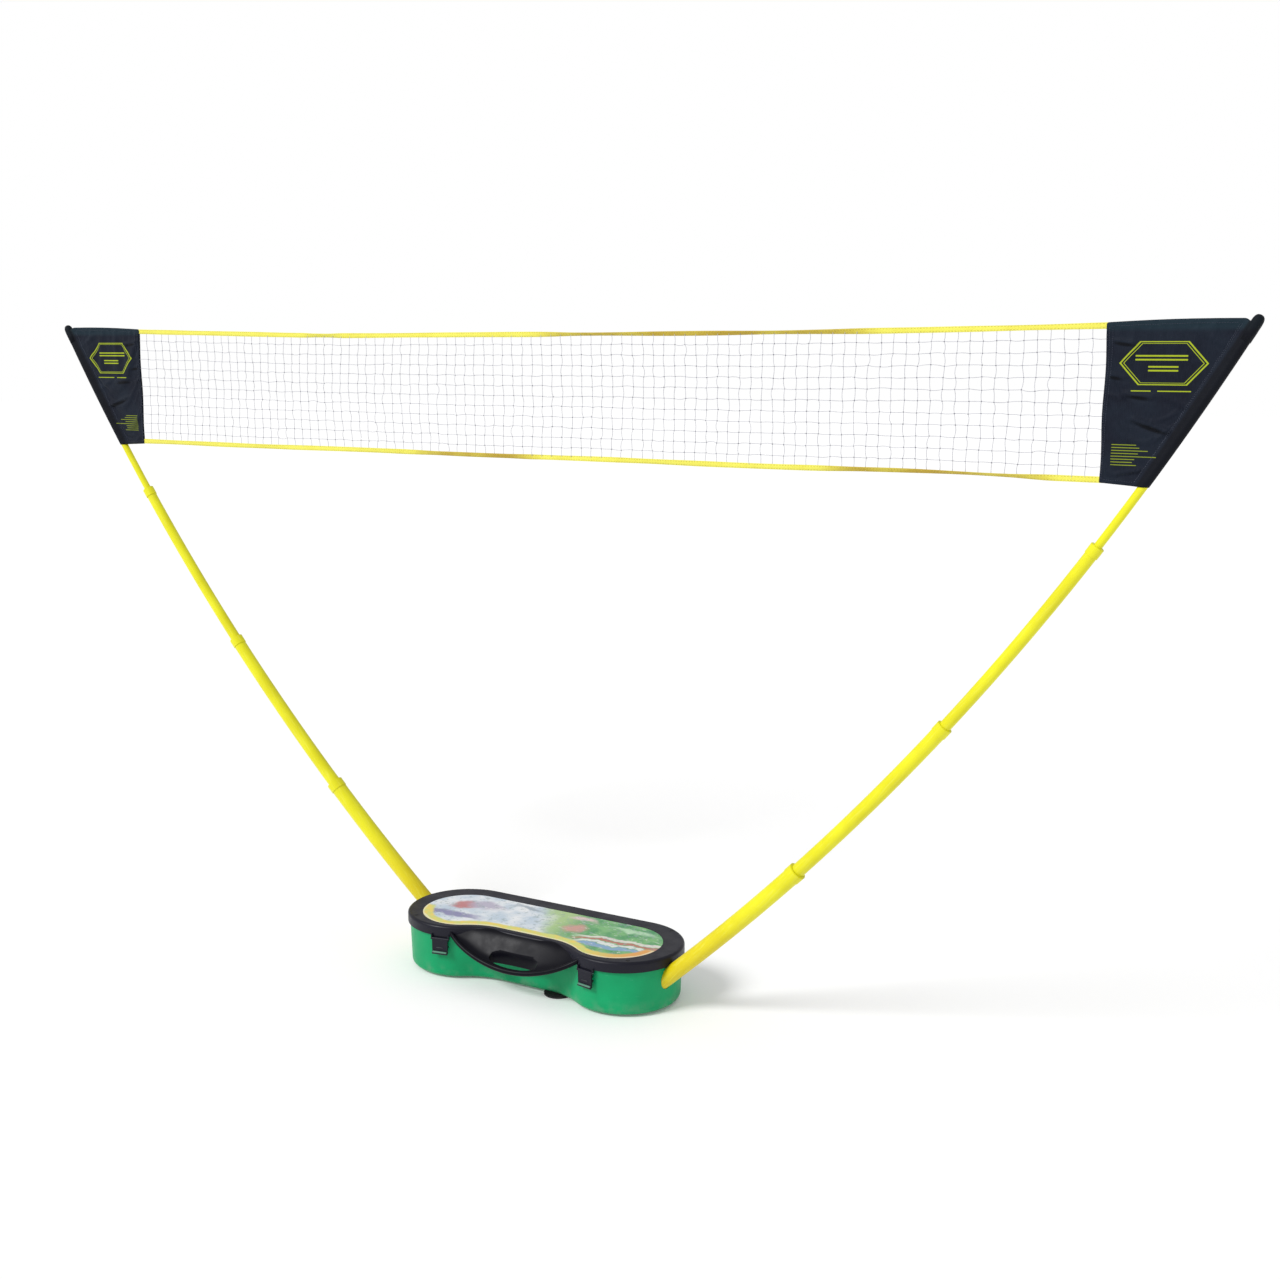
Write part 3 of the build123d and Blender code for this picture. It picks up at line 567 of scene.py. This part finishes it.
NODE_PAINT = [
    (("case_shell",), GREEN),
    (("lid_frame", "latch_left", "latch_right", "hinge_case_knuckles", "hinge_lid_knuckles"), BLACK),
    (("lid_label",), LABEL),
    (("socket_screws", "hinge_pins", "latch_pin_left", "latch_pin_right"), STEEL),
    (("lid_screws",), BLACK_STEEL),
    (("floor_pads", "front_foot"), RUBBER),
    (named("_section_", "_collar_"), YELLOW),
    (named("_bushing_", "plug", "tip_cap", "socket_l", "socket_r"), INNER),
]
for names, material in NODE_PAINT:
    for name in names:
        node = nodes[name]
        if not node.material_slots:
            node.data.materials.append(material)
        for slot in node.material_slots:
            slot.material = material


# ---- net
COLUMNS = 96
ROWS = 12
CELL_STEPS = 3  # pieces that a string is bent in between two knots
STRING_R = 0.58 * MM
STRING_SIDES = 5
KNOT_RADII = np.array([1.5, 1.15, 1.35]) * MM
TAPE_STEPS = 420
TAPE_ROLL = math.radians(36)
TAPE_SWAY = math.radians(9)
TAPE_THICK = 1.6 * MM
STITCH_OFFSET = 3.9 * MM
INTO_SLEEVE = 14 * MM
X_AXIS, Y_AXIS, Z_AXIS = np.eye(3)


def top_sag(x):
    """How far the top tape hangs below its ends, a little lower left of the middle."""
    share = np.clip(np.abs(x) / NET_END, 0, 1)
    return 0.0115 * (1 - share**2.4) + 0.0028 * np.exp(-(((x + 0.62) / 0.28) ** 2)) * (1 - share**6)


def bottom_lift(x):
    """How far the bottom tape rises above its ends."""
    share = np.clip(np.abs(x) / NET_END, 0, 1)
    return 0.0022 * np.exp(-(((x - 0.93) / 0.2) ** 2)) * (1 - share**6) + 0.0006 * np.sin(9 * x)


def top_z(x):
    return TOP_TAPE_Z - top_sag(x)


def bottom_z(x):
    return BOTTOM_TAPE_Z + bottom_lift(x)


def net_strings():
    """Upright and level strings with a knot at each crossing."""
    xs = np.linspace(-NET_END, NET_END, COLUMNS + 1)
    shares = np.linspace(0, 1, ROWS + 1)
    rows, columns = np.indices((ROWS + 1, COLUMNS + 1))
    x = xs[columns]
    z = top_z(x) + (bottom_z(x) - top_z(x)) * shares[rows]
    slack = np.sin(shares[rows] * math.pi)
    lean = 3.5 * MM * np.sin(x * 5.3 + 1.1) * slack
    billow = 4 * MM * np.sin(x * 3.1) * slack
    free = slack**0.35
    inner = np.clip((NET_END - np.abs(x)) / 0.05, 0, 1)
    knots = np.stack([
        x + (lean + rng.normal(0, 1.1 * MM, x.shape)) * free * inner,
        (billow + rng.normal(0, 0.7 * MM, x.shape)) * free * inner,
        z + rng.normal(0, 0.8 * MM, x.shape) * free,
    ], axis=-1)
    uprights, levels, balls = [], [], []
    for column in range(1, COLUMNS):
        path = bent_run(knots[:, column], X_AXIS, 1.2 * MM)
        uprights.append(strand(path, STRING_R, STRING_SIDES, X_AXIS, Y_AXIS))
    for row in range(1, ROWS):
        run = knots[row]
        first = run[0] - X_AXIS * INTO_SLEEVE
        last = run[-1] + X_AXIS * INTO_SLEEVE
        path = np.vstack([first, bent_run(run, Z_AXIS, 0.8 * MM), last])
        levels.append(strand(path, STRING_R, STRING_SIDES, Y_AXIS, Z_AXIS))
        for column in range(1, COLUMNS):
            balls.append(ball(knots[row, column], KNOT_RADII * rng.uniform(0.85, 1.15)))
    return uprights, levels, balls


def bent_run(points, sideways, wander):
    """A path through points, with a small random bow sideways and along Y between each two."""
    path = [points[0]]
    for start, end in zip(points[:-1], points[1:]):
        bow = sideways * rng.normal(0, wander) + Y_AXIS * rng.normal(0, wander)
        for step in range(1, CELL_STEPS + 1):
            share = step / CELL_STEPS
            path.append(start + (end - start) * share + bow * math.sin(share * math.pi))
    return np.array(path)


def tape(name, height, rolls, material, seed):
    """Edge tape of the net: a thin flat band that rolls over where rolls say (start, end, ease)."""
    local = np.random.default_rng(seed)
    half_length = NET_END + INTO_SLEEVE
    x = np.linspace(-half_length, half_length, TAPE_STEPS + 1)
    turn = np.zeros_like(x)
    for start, end, ease in rolls:
        rise = np.clip((x - start) / ease, 0, 1)
        fall = np.clip((end - x) / ease, 0, 1)
        turn += TAPE_ROLL * smooth(rise) * smooth(fall)
    free = smooth(np.clip((NET_END - np.abs(x)) / 0.06, 0, 1))
    for frequency in (4.0, 9.0, 17.0):
        turn += TAPE_SWAY * np.sin(frequency * x + local.uniform(0, 6)) * free
    deep, corner = TAPE_THICK / 2, 0.5 * MM
    edge = TAPE_HALF - corner
    section = [(-deep, -edge), (-deep / 2, -TAPE_HALF), (deep / 2, -TAPE_HALF), (deep, -edge), (deep, 0.0),
               (deep, edge), (deep / 2, TAPE_HALF), (-deep / 2, TAPE_HALF), (-deep, edge), (-deep, 0.0)]
    width = 1 - 0.12 * np.abs(np.sin(turn)) + 0.03 * np.sin(23 * x + seed)
    points = []
    for px, centre_z, angle, wide in zip(x, height(x), turn, width):
        for across, tall in section:
            y = across * math.cos(angle) - tall * wide * math.sin(angle)
            z = across * math.sin(angle) + tall * wide * math.cos(angle)
            points.append((px, y, centre_z + z))
    faces = grid_faces(len(x), len(section), closed=True) + end_faces(len(points), len(section))
    faces = [tuple(reversed(face)) for face in faces]
    return new_piece(name, points, faces, (material,)), x, turn, width


def smooth(share):
    """Ease from 0 to 1 with level ends."""
    return share * share * (3 - 2 * share)


def capsule(start, end, out, radius):
    """Points and faces of one small stitch that arches out of the cloth from start to end."""
    start, end, out = (np.asarray(v, float) for v in (start, end, out))
    run = end - start
    along = run / max(np.linalg.norm(run), 1e-9)
    side = np.cross(along, out)
    side /= max(np.linalg.norm(side), 1e-9)
    shares = (0.0, 0.2, 0.5, 0.8, 1.0)
    lifts = (-0.5, 0.55, 0.8, 0.55, -0.5)
    widths = (0.35, 0.95, 1.0, 0.95, 0.35)
    points = []
    for share, lift, width in zip(shares, lifts, widths):
        centre = start + run * share + out * radius * lift
        for k in range(5):
            angle = 2 * math.pi * k / 5
            points.append(centre + radius * width * (side * math.cos(angle) + out * math.sin(angle)))
    return points, grid_faces(len(shares), 5, closed=True) + end_faces(len(points), 5)


def tape_stitches(x, height, turn, width, offset):
    """A row of stitches on both faces of a tape, offset from its middle line."""
    parts = []
    pitch, length = 6.5 * MM, 4.2 * MM
    for start in np.arange(-NET_END + 4 * MM, NET_END - 8 * MM, pitch):
        angle = float(np.interp(start + length / 2, x, turn))
        wide = float(np.interp(start, x, width))
        for face in (-1, 1):
            out = np.array([0.0, math.cos(angle), math.sin(angle)]) * face
            tall = np.array([0.0, -math.sin(angle), math.cos(angle)]) * offset * wide
            ends = [np.array([px, 0.0, float(height(np.array(px)))]) + tall + out * TAPE_THICK / 2
                    for px in (start, start + length)]
            parts.append(capsule(ends[0], ends[1], out, 0.34 * MM))
    return parts


uprights, levels, balls = net_strings()
net_pieces = []
for name, parts in (("net_strings_upright", uprights), ("net_strings_level", levels), ("net_knots", balls)):
    net_pieces.append(new_piece(name, *joined(parts), (KNOT if name == "net_knots" else STRING,)))
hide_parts("net_mesh")

for end, height, rolls, seed in (("top", top_z, TOP_ROLLS, 3), ("bottom", bottom_z, BOTTOM_ROLLS, 5)):
    piece, x, turn, width = tape(f"net_{end}_tape_cloth", height, rolls, TAPE[end], seed)
    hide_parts(f"net_{end}_tape")
    stitches = [stitch for offset in (STITCH_OFFSET, -STITCH_OFFSET)
                for stitch in tape_stitches(x, height, turn, width, offset)]
    seam = new_piece(f"net_{end}_tape_stitches", *joined(stitches), (YELLOW_THREAD,))
    net_pieces += [piece, seam]

for piece in net_pieces:
    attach(piece, "net")
    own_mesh(piece)


# ---- end sleeves
SLEEVE_FROM, SLEEVE_TO = 1.522, 1.871  # lengths along the pole's axis, from its foot
SEAM_TO = 1.8835  # where the top hem's line meets the pole
POCKET_R = 9.8 * MM
SEAM_IN = 18 * MM  # from the pole's axis to the pocket's seam
SLEEVE_EDGE = NET_END + 0.6 * MM
HEM = 11 * MM
INNER_HEM = 10 * MM


def pole_at(distance):
    """Point on the right pole's axis, its direction, and the way square to it towards the net."""
    slope = FOOT_SLOPE + distance / BOW_RADIUS
    point = BOW_CENTRE + ALONG * (BOW_RADIUS * math.sin(slope)) - UP * (BOW_RADIUS * math.cos(slope))
    tangent = ALONG * math.cos(slope) + UP * math.sin(slope)
    inward = UP * math.cos(slope) - ALONG * math.sin(slope)
    return point, tangent, inward


def with_hems(length, hem_start, hem_end, spacing):
    """Shares from 0 to 1 along a length, with close pairs at the hems' edges."""
    places = [0.0, hem_start / 2, hem_start - 0.5 * MM, hem_start + 0.5 * MM]
    last = [length - hem_end - 0.5 * MM, length - hem_end + 0.5 * MM, length - hem_end / 2, length]
    if hem_end == 0:
        last = [length]
    count = max(2, round((last[0] - places[-1]) / spacing))
    middle = np.linspace(places[-1], last[0], count + 1)[1:-1]
    return np.array(places + list(middle) + last) / length


ROW_SHARES = with_hems(0.3, HEM, HEM, 4.4 * MM)
PANEL_SHARES = with_hems(0.17, INNER_HEM, 0, 4.2 * MM)
PANEL = len(PANEL_SHARES)
LAYERS = ((-1, slice(2, PANEL - 1)), (1, slice(1 - PANEL, -2)))  # which way each faces, and its free columns
POCKET_TURN = math.radians(125)  # how far each layer goes round the pole from its seam
POCKET_ANGLES = np.linspace(-POCKET_TURN, POCKET_TURN, 17)
CLOTH_THICK = 0.45 * MM
CLOTH = {
    "quality": 6, "mass": 0.12, "tension_stiffness": 18, "compression_stiffness": 18, "shear_stiffness": 6,
    "bending_stiffness": 0.25, "air_damping": 2.0, "vertex_group_mass": "held", "shrink_min": -0.035,
}
CLOTH_FRAMES = 30
POCKET_END = (  # place along the pole past SLEEVE_TO, and share of the pocket's radius
    (-0.034, 1.0), (-0.016, 1.03), (0.0, 1.03), (0.006, 1.0), (0.011, 0.9), (0.0145, 0.72), (0.0166, 0.46),
    (0.0174, 0.18),
)
CLOTH_REACH = 7 * MM  # furthest that the simulation may move a point
LAYER_GAP = 0.3 * MM  # furthest that it may move one layer towards the other


def sleeve_grid():
    """The right sleeve's cloth: rows from lower to upper hem, columns from the net round the pole."""
    grid = []
    for row in ROW_SHARES:
        pole, tangent, inward = pole_at(SLEEVE_FROM + (SEAM_TO - SLEEVE_FROM) * row)
        height = INNER_BOTTOM + (INNER_TOP - INNER_BOTTOM) * row
        edge = np.array([SLEEVE_EDGE + 0.0012 * math.sin(row * 11), 0.0, height])
        level = (edge - pole) / np.linalg.norm(edge - pole)
        shear = (level @ tangent) / (level @ inward)
        seam = pole + (inward + tangent * shear) * SEAM_IN
        pole, tangent, inward = pole_at(SLEEVE_FROM + (SLEEVE_TO - SLEEVE_FROM) * row)
        shear *= 1 - 0.5 * row
        line = []
        for share in PANEL_SHARES:
            gap = 1.3 + 0.9 * math.sin(math.pi * share) - 0.7 * share
            bulge = UP * 0.0022 * math.sin(math.pi * share) * max(0.0, row - 0.9) * 10
            line.append((edge + (seam - edge) * share + bulge, gap * MM))
        front = [point - ACROSS * gap for point, gap in line]
        back = [point + ACROSS * gap for point, gap in reversed(line)]
        pocket = []
        for angle in POCKET_ANGLES:
            inner = -POCKET_R * math.cos(angle)
            pocket.append(pole + (inward + tangent * shear) * inner + ACROSS * POCKET_R * math.sin(angle))
        grid.append(front + pocket + back)
    return np.array(grid)


def settled(rest, seed):
    """The sleeve's cloth with slack in it, let go between its seams, hems and pocket."""
    rows, columns = rest.shape[:2]
    jitter = np.random.default_rng(seed).normal(0, 0.00025, rest.shape)
    start = rest.copy()
    for _, free in LAYERS:
        start[2:-2, free] += jitter[2:-2, free]
    piece = new_piece("sleeve_trial", start.reshape(-1, 3), grid_faces(rows, columns))
    held = piece.vertex_groups.new(name="held")
    for r in range(rows):
        for c in range(columns):
            in_panel = 1 <= c < PANEL - 1 or columns - PANEL < c < columns - 1
            if not in_panel or r in (0, rows - 1):
                held.add([r * columns + c], 1.0, "REPLACE")
    cloth = piece.modifiers.new("cloth", "CLOTH")
    for setting, value in CLOTH.items():
        setattr(cloth.settings, setting, value)
    cloth.collision_settings.use_collision = False
    for number in range(1, CLOTH_FRAMES + 1):
        scene.frame_set(number)
    evaluated = piece.evaluated_get(bpy.context.evaluated_depsgraph_get())
    moved = np.empty(rows * columns * 3)
    evaluated.data.vertices.foreach_get("co", moved)
    bpy.data.objects.remove(piece, do_unlink=True)
    scene.frame_set(1)
    return moved.reshape(rest.shape)


def creased(grid):
    """Press the folds of the hanging cloth into both layers, as grooves with a raised upper lip."""
    result = grid.copy()
    for face, columns in LAYERS:
        x, _, z = np.moveaxis(grid[2:-2, columns], 2, 0)
        for x0, z0, x1, z1, depth, wide in FOLDS:
            along, rise = x1 - x0, z1 - z0
            length = math.hypot(along, rise)
            share = ((x - x0) * along + (z - z0) * rise) / length**2
            off = ((z - z0) * along - (x - x0) * rise) / length / MM
            past = np.maximum(0, np.abs(share - 0.5) - 0.5) * length / MM
            ridge = np.exp(-(((off - wide * 0.7) / (wide * 0.55)) ** 2))
            groove = np.exp(-(((off + wide * 0.1) / (wide * 0.5)) ** 2))
            lift = (0.9 * ridge - 0.45 * groove) * depth * MM * np.exp(-((past / wide) ** 2))
            result[2:-2, columns] += ACROSS * face * lift[..., None]
    return result


def capped(rest, moved):
    """Keep the simulated cloth near its rest shape, and its two layers apart."""
    shift = moved - rest
    length = np.linalg.norm(shift, axis=2, keepdims=True)
    shift *= np.minimum(1, CLOTH_REACH / np.maximum(length, 1e-9))
    sideways = shift @ ACROSS
    for face, layer in ((-1, slice(0, PANEL)), (1, slice(-PANEL, None))):
        over = np.minimum(sideways[:, layer] * face + LAYER_GAP, 0) * face
        shift[:, layer] -= over[..., None] * ACROSS
    return rest + shift


def with_hem_steps(grid):
    """Raise the doubled cloth of the hems a little above the single cloth beside it."""
    rows, columns = grid.shape[:2]
    r, c = np.indices((rows, columns))
    column = np.minimum(c, columns - 1 - c)
    in_hem = (r < 3) | (r >= rows - 3) | (column < 3)
    face = np.where(c < columns / 2, -1, 1) * (in_hem & (column < PANEL))
    return grid + face[..., None] * ACROSS * CLOTH_THICK


def on_grid(grid, row, column):
    """Point of the grid at a fractional row and column."""
    r, c = int(min(row, grid.shape[0] - 2)), int(min(column, grid.shape[1] - 2))
    fr, fc = row - r, column - c
    low = grid[r, c] * (1 - fc) + grid[r, c + 1] * fc
    high = grid[r + 1, c] * (1 - fc) + grid[r + 1, c + 1] * fc
    return low * (1 - fr) + high * fr


def sewn_line(grid, start, end, face):
    """Stitches along a straight line of the grid, from (row, column) to (row, column)."""
    places = np.array([on_grid(grid, *at) for at in np.linspace(start, end, 240)])
    places += ACROSS * face * 0.35 * MM
    lengths = np.concatenate([[0], np.cumsum(np.linalg.norm(np.diff(places, axis=0), axis=1))])
    parts = []
    pitch, stitch = 4.4 * MM, 3.0 * MM
    for begin in np.arange(2 * MM, lengths[-1] - 4 * MM, pitch):
        ends = [[np.interp(at, lengths, places[:, k]) for k in range(3)] for at in (begin, begin + stitch)]
        parts.append(capsule(ends[0], ends[1], ACROSS * face, 0.32 * MM))
    return parts


def sleeve_stitches(grid):
    """Every seam of one sleeve, on its front and its back."""
    rows, columns = grid.shape[:2]
    lines = [((row, 1), (row, PANEL - 2)) for row in (1.4, rows - 2.4)]
    lines += [((1, column), (rows - 2, column)) for column in (0.8, 1.8, PANEL - 1.4, PANEL - 2.0)]
    parts = []
    for face in (-1, 1):
        for line in lines:
            start, end = [(row, column if face < 0 else columns - 1 - column) for row, column in line]
            parts += sewn_line(grid, start, end, face)
    return parts


def pocket_tip():
    """The closed, rounded end of the pocket over the pole's tip, as points and faces."""
    sections = []
    count = 20
    for beyond, share in POCKET_END:
        point, tangent, inward = pole_at(SLEEVE_TO + beyond)
        for k in range(count):
            angle = 2 * math.pi * k / count
            pucker = 1 + 0.03 * math.sin(5 * angle + 40 * beyond)
            radius = (POCKET_R + 0.5 * MM) * share * pucker
            sections.append(point + radius * (inward * math.cos(angle) + ACROSS * math.sin(angle)))
    faces = grid_faces(len(POCKET_END), count, closed=True)
    faces.append(tuple(range(len(sections) - count, len(sections))))
    return np.array(sections), faces


def thickened(piece, thickness):
    """Give a sheet its thickness, half to each side, and apply all its modifiers."""
    thicken = piece.modifiers.new("thickness", "SOLIDIFY")
    thicken.thickness = thickness
    thicken.offset = 0
    apply_modifiers(piece)


def make_sleeve(side, seed):
    """One end sleeve with its stitches and closed pocket end."""
    place = turned if side == "left" else np.asarray
    rest = sleeve_grid()
    moved = capped(rest, settled(rest, seed))
    grid = with_hem_steps(creased(moved))
    rows, columns = grid.shape[:2]
    cloth = new_piece(f"sleeve_{side}_cloth", place(grid.reshape(-1, 3)), grid_faces(rows, columns), (NYLON,))
    subdivide = cloth.modifiers.new("smoother", "SUBSURF")
    subdivide.levels = subdivide.render_levels = 1
    thickened(cloth, CLOTH_THICK)
    stitches = [(place(points), faces) for points, faces in sleeve_stitches(grid)]
    seams = new_piece(f"sleeve_{side}_stitches", *joined(stitches), (NAVY_THREAD,))
    points, faces = pocket_tip()
    end = new_piece(f"sleeve_{side}_pocket_end", place(points), faces, (NYLON,))
    thickened(end, 0.6 * MM)
    for piece in (cloth, seams, end):
        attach(piece, f"pole_{side}_4")
    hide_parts(f"net_sleeve_{side}")


for side, seed in (("right", 11), ("left", 23)):
    make_sleeve(side, seed)


# ---- carry handle
HANDLE_HALF_SPAN = 0.18
GRIP_R = 6.5 * MM
SCOOP_THICK = 3.6 * MM
GRIP_Y, GRIP_Z = -0.15, 0.121  # grip bar at its ends, and how far its middle lies out and down
GRIP_BOW_OUT, GRIP_BOW_DOWN = 0.016, 0.0535
SCOOP_BACK_Y, SCOOP_BACK_BOW = -0.0935, 0.02
SCOOP_END_TAPER = 0.018  # keeps the scoop's ends clear of the label
SCOOP_STEPS = 26
SLOT_LENGTH, SLOT_WIDTH, SLOT_Y = 0.132, 0.026, -0.143
SLOT_LIP_BOTTOM = 0.0665
CUTTER_ENDS = (0.03, 0.13)  # heights, well below and above the grip
SLOT_SQUARENESS = 0.75  # 1 makes an ellipse and 0 a rectangle


def handle_section(share):
    """Closed side view of the scoop and grip at one place across the handle, as (y, z) points."""
    bow = 1 - share**2
    grip_y = GRIP_Y - GRIP_BOW_OUT * bow + 0.012 * share**8
    grip_z = GRIP_Z - GRIP_BOW_DOWN * bow
    back_y = SCOOP_BACK_Y - SCOOP_BACK_BOW * share**2 - SCOOP_END_TAPER * share**8
    front_y = grip_y + GRIP_R * 0.5
    drop = grip_z + GRIP_R * 0.35 - LID_TOP
    lip = 0.3 * MM * max(0.0, 1 - (share / 0.62) ** 4)
    top = []
    for a in np.linspace(0, 1, SCOOP_STEPS):
        fall = 1 - (1 - a * a) ** 2.6
        skin = lip * min(1.0, a / 0.02) - (1 - min(1.0, a / 0.02)) * 0.2 * MM
        top.append((back_y + (front_y - back_y) * a, LID_TOP + drop * fall + skin))
    bar = [(grip_y + GRIP_R * math.cos(math.radians(a)), grip_z + GRIP_R * math.sin(math.radians(a)))
           for a in range(66, 320, 18)]
    bottom = [(y, z - SCOOP_THICK) for y, z in reversed(top[:-1])]
    return top + bar + bottom


def squared(turn, power):
    """A point of a circle of radius 1, pushed towards the square round it by a power below 1."""
    c, d = math.cos(turn), math.sin(turn)
    return math.copysign(abs(c) ** power, c), math.copysign(abs(d) ** power, d)


def slot_outline(grow):
    """The finger slot's squarish oval as (x, y) points, moved outwards by grow."""
    half_x, half_y = SLOT_LENGTH / 2 + grow, SLOT_WIDTH / 2 + grow
    circle = (squared(turn, SLOT_SQUARENESS) for turn in np.arange(48) * 2 * math.pi / 48)
    return [(half_x * c, SLOT_Y + half_y * d) for c, d in circle]


def make_slot_lip():
    """Deep lip that hangs from the slot's back and ends, level at its lower edge."""
    inner, outer = slot_outline(0.05 * MM), slot_outline(2.6 * MM)
    points, low = [], SLOT_LIP_BOTTOM
    for (ix, iy), (ox, oy) in zip(inner, outer):
        top = min(scoop_height(ix, iy), scoop_height(ox, oy)) - 1.6 * MM
        top = max(top, low + 0.5 * MM)
        rounded = min(1.2 * MM, (top - low) * 0.3)
        points += [(ix, iy, top), (ox, oy, top), (ox, oy, low + rounded),
                   (ox * 0.3 + ix * 0.7, oy * 0.3 + iy * 0.7, low), (ix, iy, low + rounded)]
    faces = grid_faces(len(inner) + 1, 5, closed=True)
    faces = [tuple(corner % len(points) for corner in face) for face in faces]
    lip = new_piece("carry_handle_slot_lip", points, faces, (HANDLE_SHADED_BLACK,))
    recalculate_normals(lip)
    sharp_by_angle(lip, 50)
    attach(lip, "lid")


def scoop_height(x, y):
    """Height of the scoop's dished top at a place in plan."""
    share = x / HANDLE_HALF_SPAN
    top = handle_section(share)[:SCOOP_STEPS]
    return float(np.interp(-y, [-point[0] for point in top], [point[1] for point in top]))


def rounded_bar(centre, along, out, half_length, half_out, half_tall):
    """Points and faces of a moulded bar with softened ends and edges."""
    centre, along, out = (np.asarray(v, float) for v in (centre, along, out))
    points = []
    stations = ((-1.0, 0.45), (-0.97, 0.8), (-0.9, 1.0), (0.0, 1.0), (0.9, 1.0), (0.97, 0.8), (1.0, 0.45))
    for share, size in stations:
        for k in range(10):
            c, d = squared(2 * math.pi * k / 10, 0.6)
            offset = out * half_out * size * c + UP * half_tall * size * d
            points.append(centre + along * half_length * share + offset)
    return points, grid_faces(len(stations), 10, closed=True) + end_faces(len(points), 10)


def latch_details():
    """Each latch's pull ridge in a pale green that paints the highlight on a ledge's top, the moulded dash
    above it, and a black plate behind its hinge as painted shade.
    """
    for side in ("left", "right"):
        pin, along = joint_line(f"latch_{side}_hinge")
        out = np.array([along[1], -along[0], 0.0])
        if out[1] > 0:
            out = -out
        ridge = rounded_bar(pin + out * 0.004 - UP * 0.0325, along, out, 0.0185, 0.0022, 0.0021)
        dash = rounded_bar(pin + out * 0.0026 - UP * 0.0215, along, out, 0.0085, 0.001, 0.0011)
        # Painted shade: a thin black plate behind each latch's hinge stands in for the dark recess round the
        # latch.
        shade_backing = rounded_bar(pin - out * 0.0044 + UP * 0.0012, along, out, 0.0222, 0.0006, 0.0066)
        for name, (points, faces), material, body in (("ridge", ridge, RIDGE_HIGHLIGHT, f"latch_{side}"),
                                                      ("dash", dash, DASH, f"latch_{side}"),
                                                      ("shade_backing", shade_backing, BLACK, "lid")):
            piece = new_piece(f"latch_{side}_{name}", points, faces, (material,))
            recalculate_normals(piece)
            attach(piece, body)


def make_handle():
    """Dished scoop and grip bar in one smooth skin, with the finger slot cut through."""
    shares = np.sin(np.linspace(-math.pi / 2, math.pi / 2, 65)) * 0.995
    points = [(share * HANDLE_HALF_SPAN, y, z) for share in shares for y, z in handle_section(share)]
    count = len(points) // len(shares)
    faces = grid_faces(len(shares), count, closed=True) + end_faces(len(points), count)
    handle = new_piece("carry_handle_skin", points, faces, (HANDLE_SHADED_BLACK,))
    recalculate_normals(handle)
    outline = slot_outline(0.0)
    n = len(outline)
    cutter_points = [(x, y, z) for z in CUTTER_ENDS for x, y in outline]
    cutter_faces = grid_faces(2, n, closed=True) + end_faces(2 * n, n)
    cutter = new_piece("slot_cutter", cutter_points, cutter_faces, smooth=False)
    recalculate_normals(cutter)
    cut = handle.modifiers.new("slot", "BOOLEAN")
    cut.operation = "DIFFERENCE"
    cut.solver = "EXACT"
    cut.object = cutter
    apply_modifiers(handle)
    bpy.data.objects.remove(cutter, do_unlink=True)
    sharp_by_angle(handle, 42)
    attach(handle, "lid")
    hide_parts("carry_handle")


def recalculate_normals(piece):
    """Turn every face of a closed mesh outwards."""
    work = bmesh.new()
    work.from_mesh(piece.data)
    bmesh.ops.recalc_face_normals(work, faces=work.faces)
    work.to_mesh(piece.data)
    work.free()


def sharp_by_angle(piece, angle):
    """Smooth shading except across edges that turn more than angle degrees."""
    piece.data.polygons.foreach_set("use_smooth", [True] * len(piece.data.polygons))
    piece.data.set_sharp_from_angle(angle=math.radians(angle))


make_handle()
make_slot_lip()
latch_details()


# ---- floor, light and camera
def make_floor():
    """Plain near-white floor that runs out of view."""
    floor = new_piece("studio_floor", [(-40, -40, 0), (40, -40, 0), (40, 40, 0), (-40, 40, 0)], [(0, 1, 2, 3)])
    p = Paint("studio_floor", (0.95, 0.95, 0.95), 0.8, 0.0, Emission_Strength=0.07)
    p.feed("Emission Color", (1.0, 1.0, 1.0))
    floor.data.materials.append(p.material)


def make_lights():
    """One broad soft sun, and an even world that the camera sees as white."""
    world = bpy.data.worlds.new("studio")
    scene.world = world
    world.use_nodes = True
    tree = world.node_tree
    backdrop = tree.nodes["Background"]
    backdrop.inputs["Color"].default_value = (1, 1, 1, 1)
    seen = tree.nodes.new("ShaderNodeLightPath").outputs["Is Camera Ray"]
    strength = tree.nodes.new("ShaderNodeMapRange")
    strength.inputs["To Min"].default_value = 0.58
    strength.inputs["To Max"].default_value = 1.0
    tree.links.new(seen, strength.inputs["Value"])
    tree.links.new(strength.outputs[0], backdrop.inputs["Strength"])
    lamp = bpy.data.lights.new("key", "SUN")
    lamp.energy = 2.1
    lamp.angle = math.radians(20)
    holder = bpy.data.objects.new("key", lamp)
    holder.rotation_euler = Vector((0.62, 1.0, -1.0)).to_track_quat("-Z", "Y").to_euler()
    scene.collection.objects.link(holder)


def make_camera():
    """Camera right of the net's middle, turned to the left and a little down."""
    yaw, pitch, roll = (math.radians(a) for a in (29.05, 10.26, 0.19))
    ahead = Vector((-math.sin(yaw) * math.cos(pitch), math.cos(yaw) * math.cos(pitch), -math.sin(pitch)))
    level = Vector((math.cos(yaw), math.sin(yaw), 0))
    upright = level.cross(ahead)
    right = level * math.cos(roll) + upright * math.sin(roll)
    up = upright * math.cos(roll) - level * math.sin(roll)
    camera = bpy.data.objects.new("camera", bpy.data.cameras.new("camera"))
    camera.matrix_world = Matrix((right, up, -ahead)).transposed().to_4x4()
    camera.location = (1.945, -3.036, 1.481)
    camera.data.lens = 44.0
    camera.data.sensor_width = 36.0
    camera.data.clip_end = 200
    scene.collection.objects.link(camera)
    scene.camera = camera


make_floor()
make_lights()
make_camera()
scene.view_settings.view_transform = "Standard"
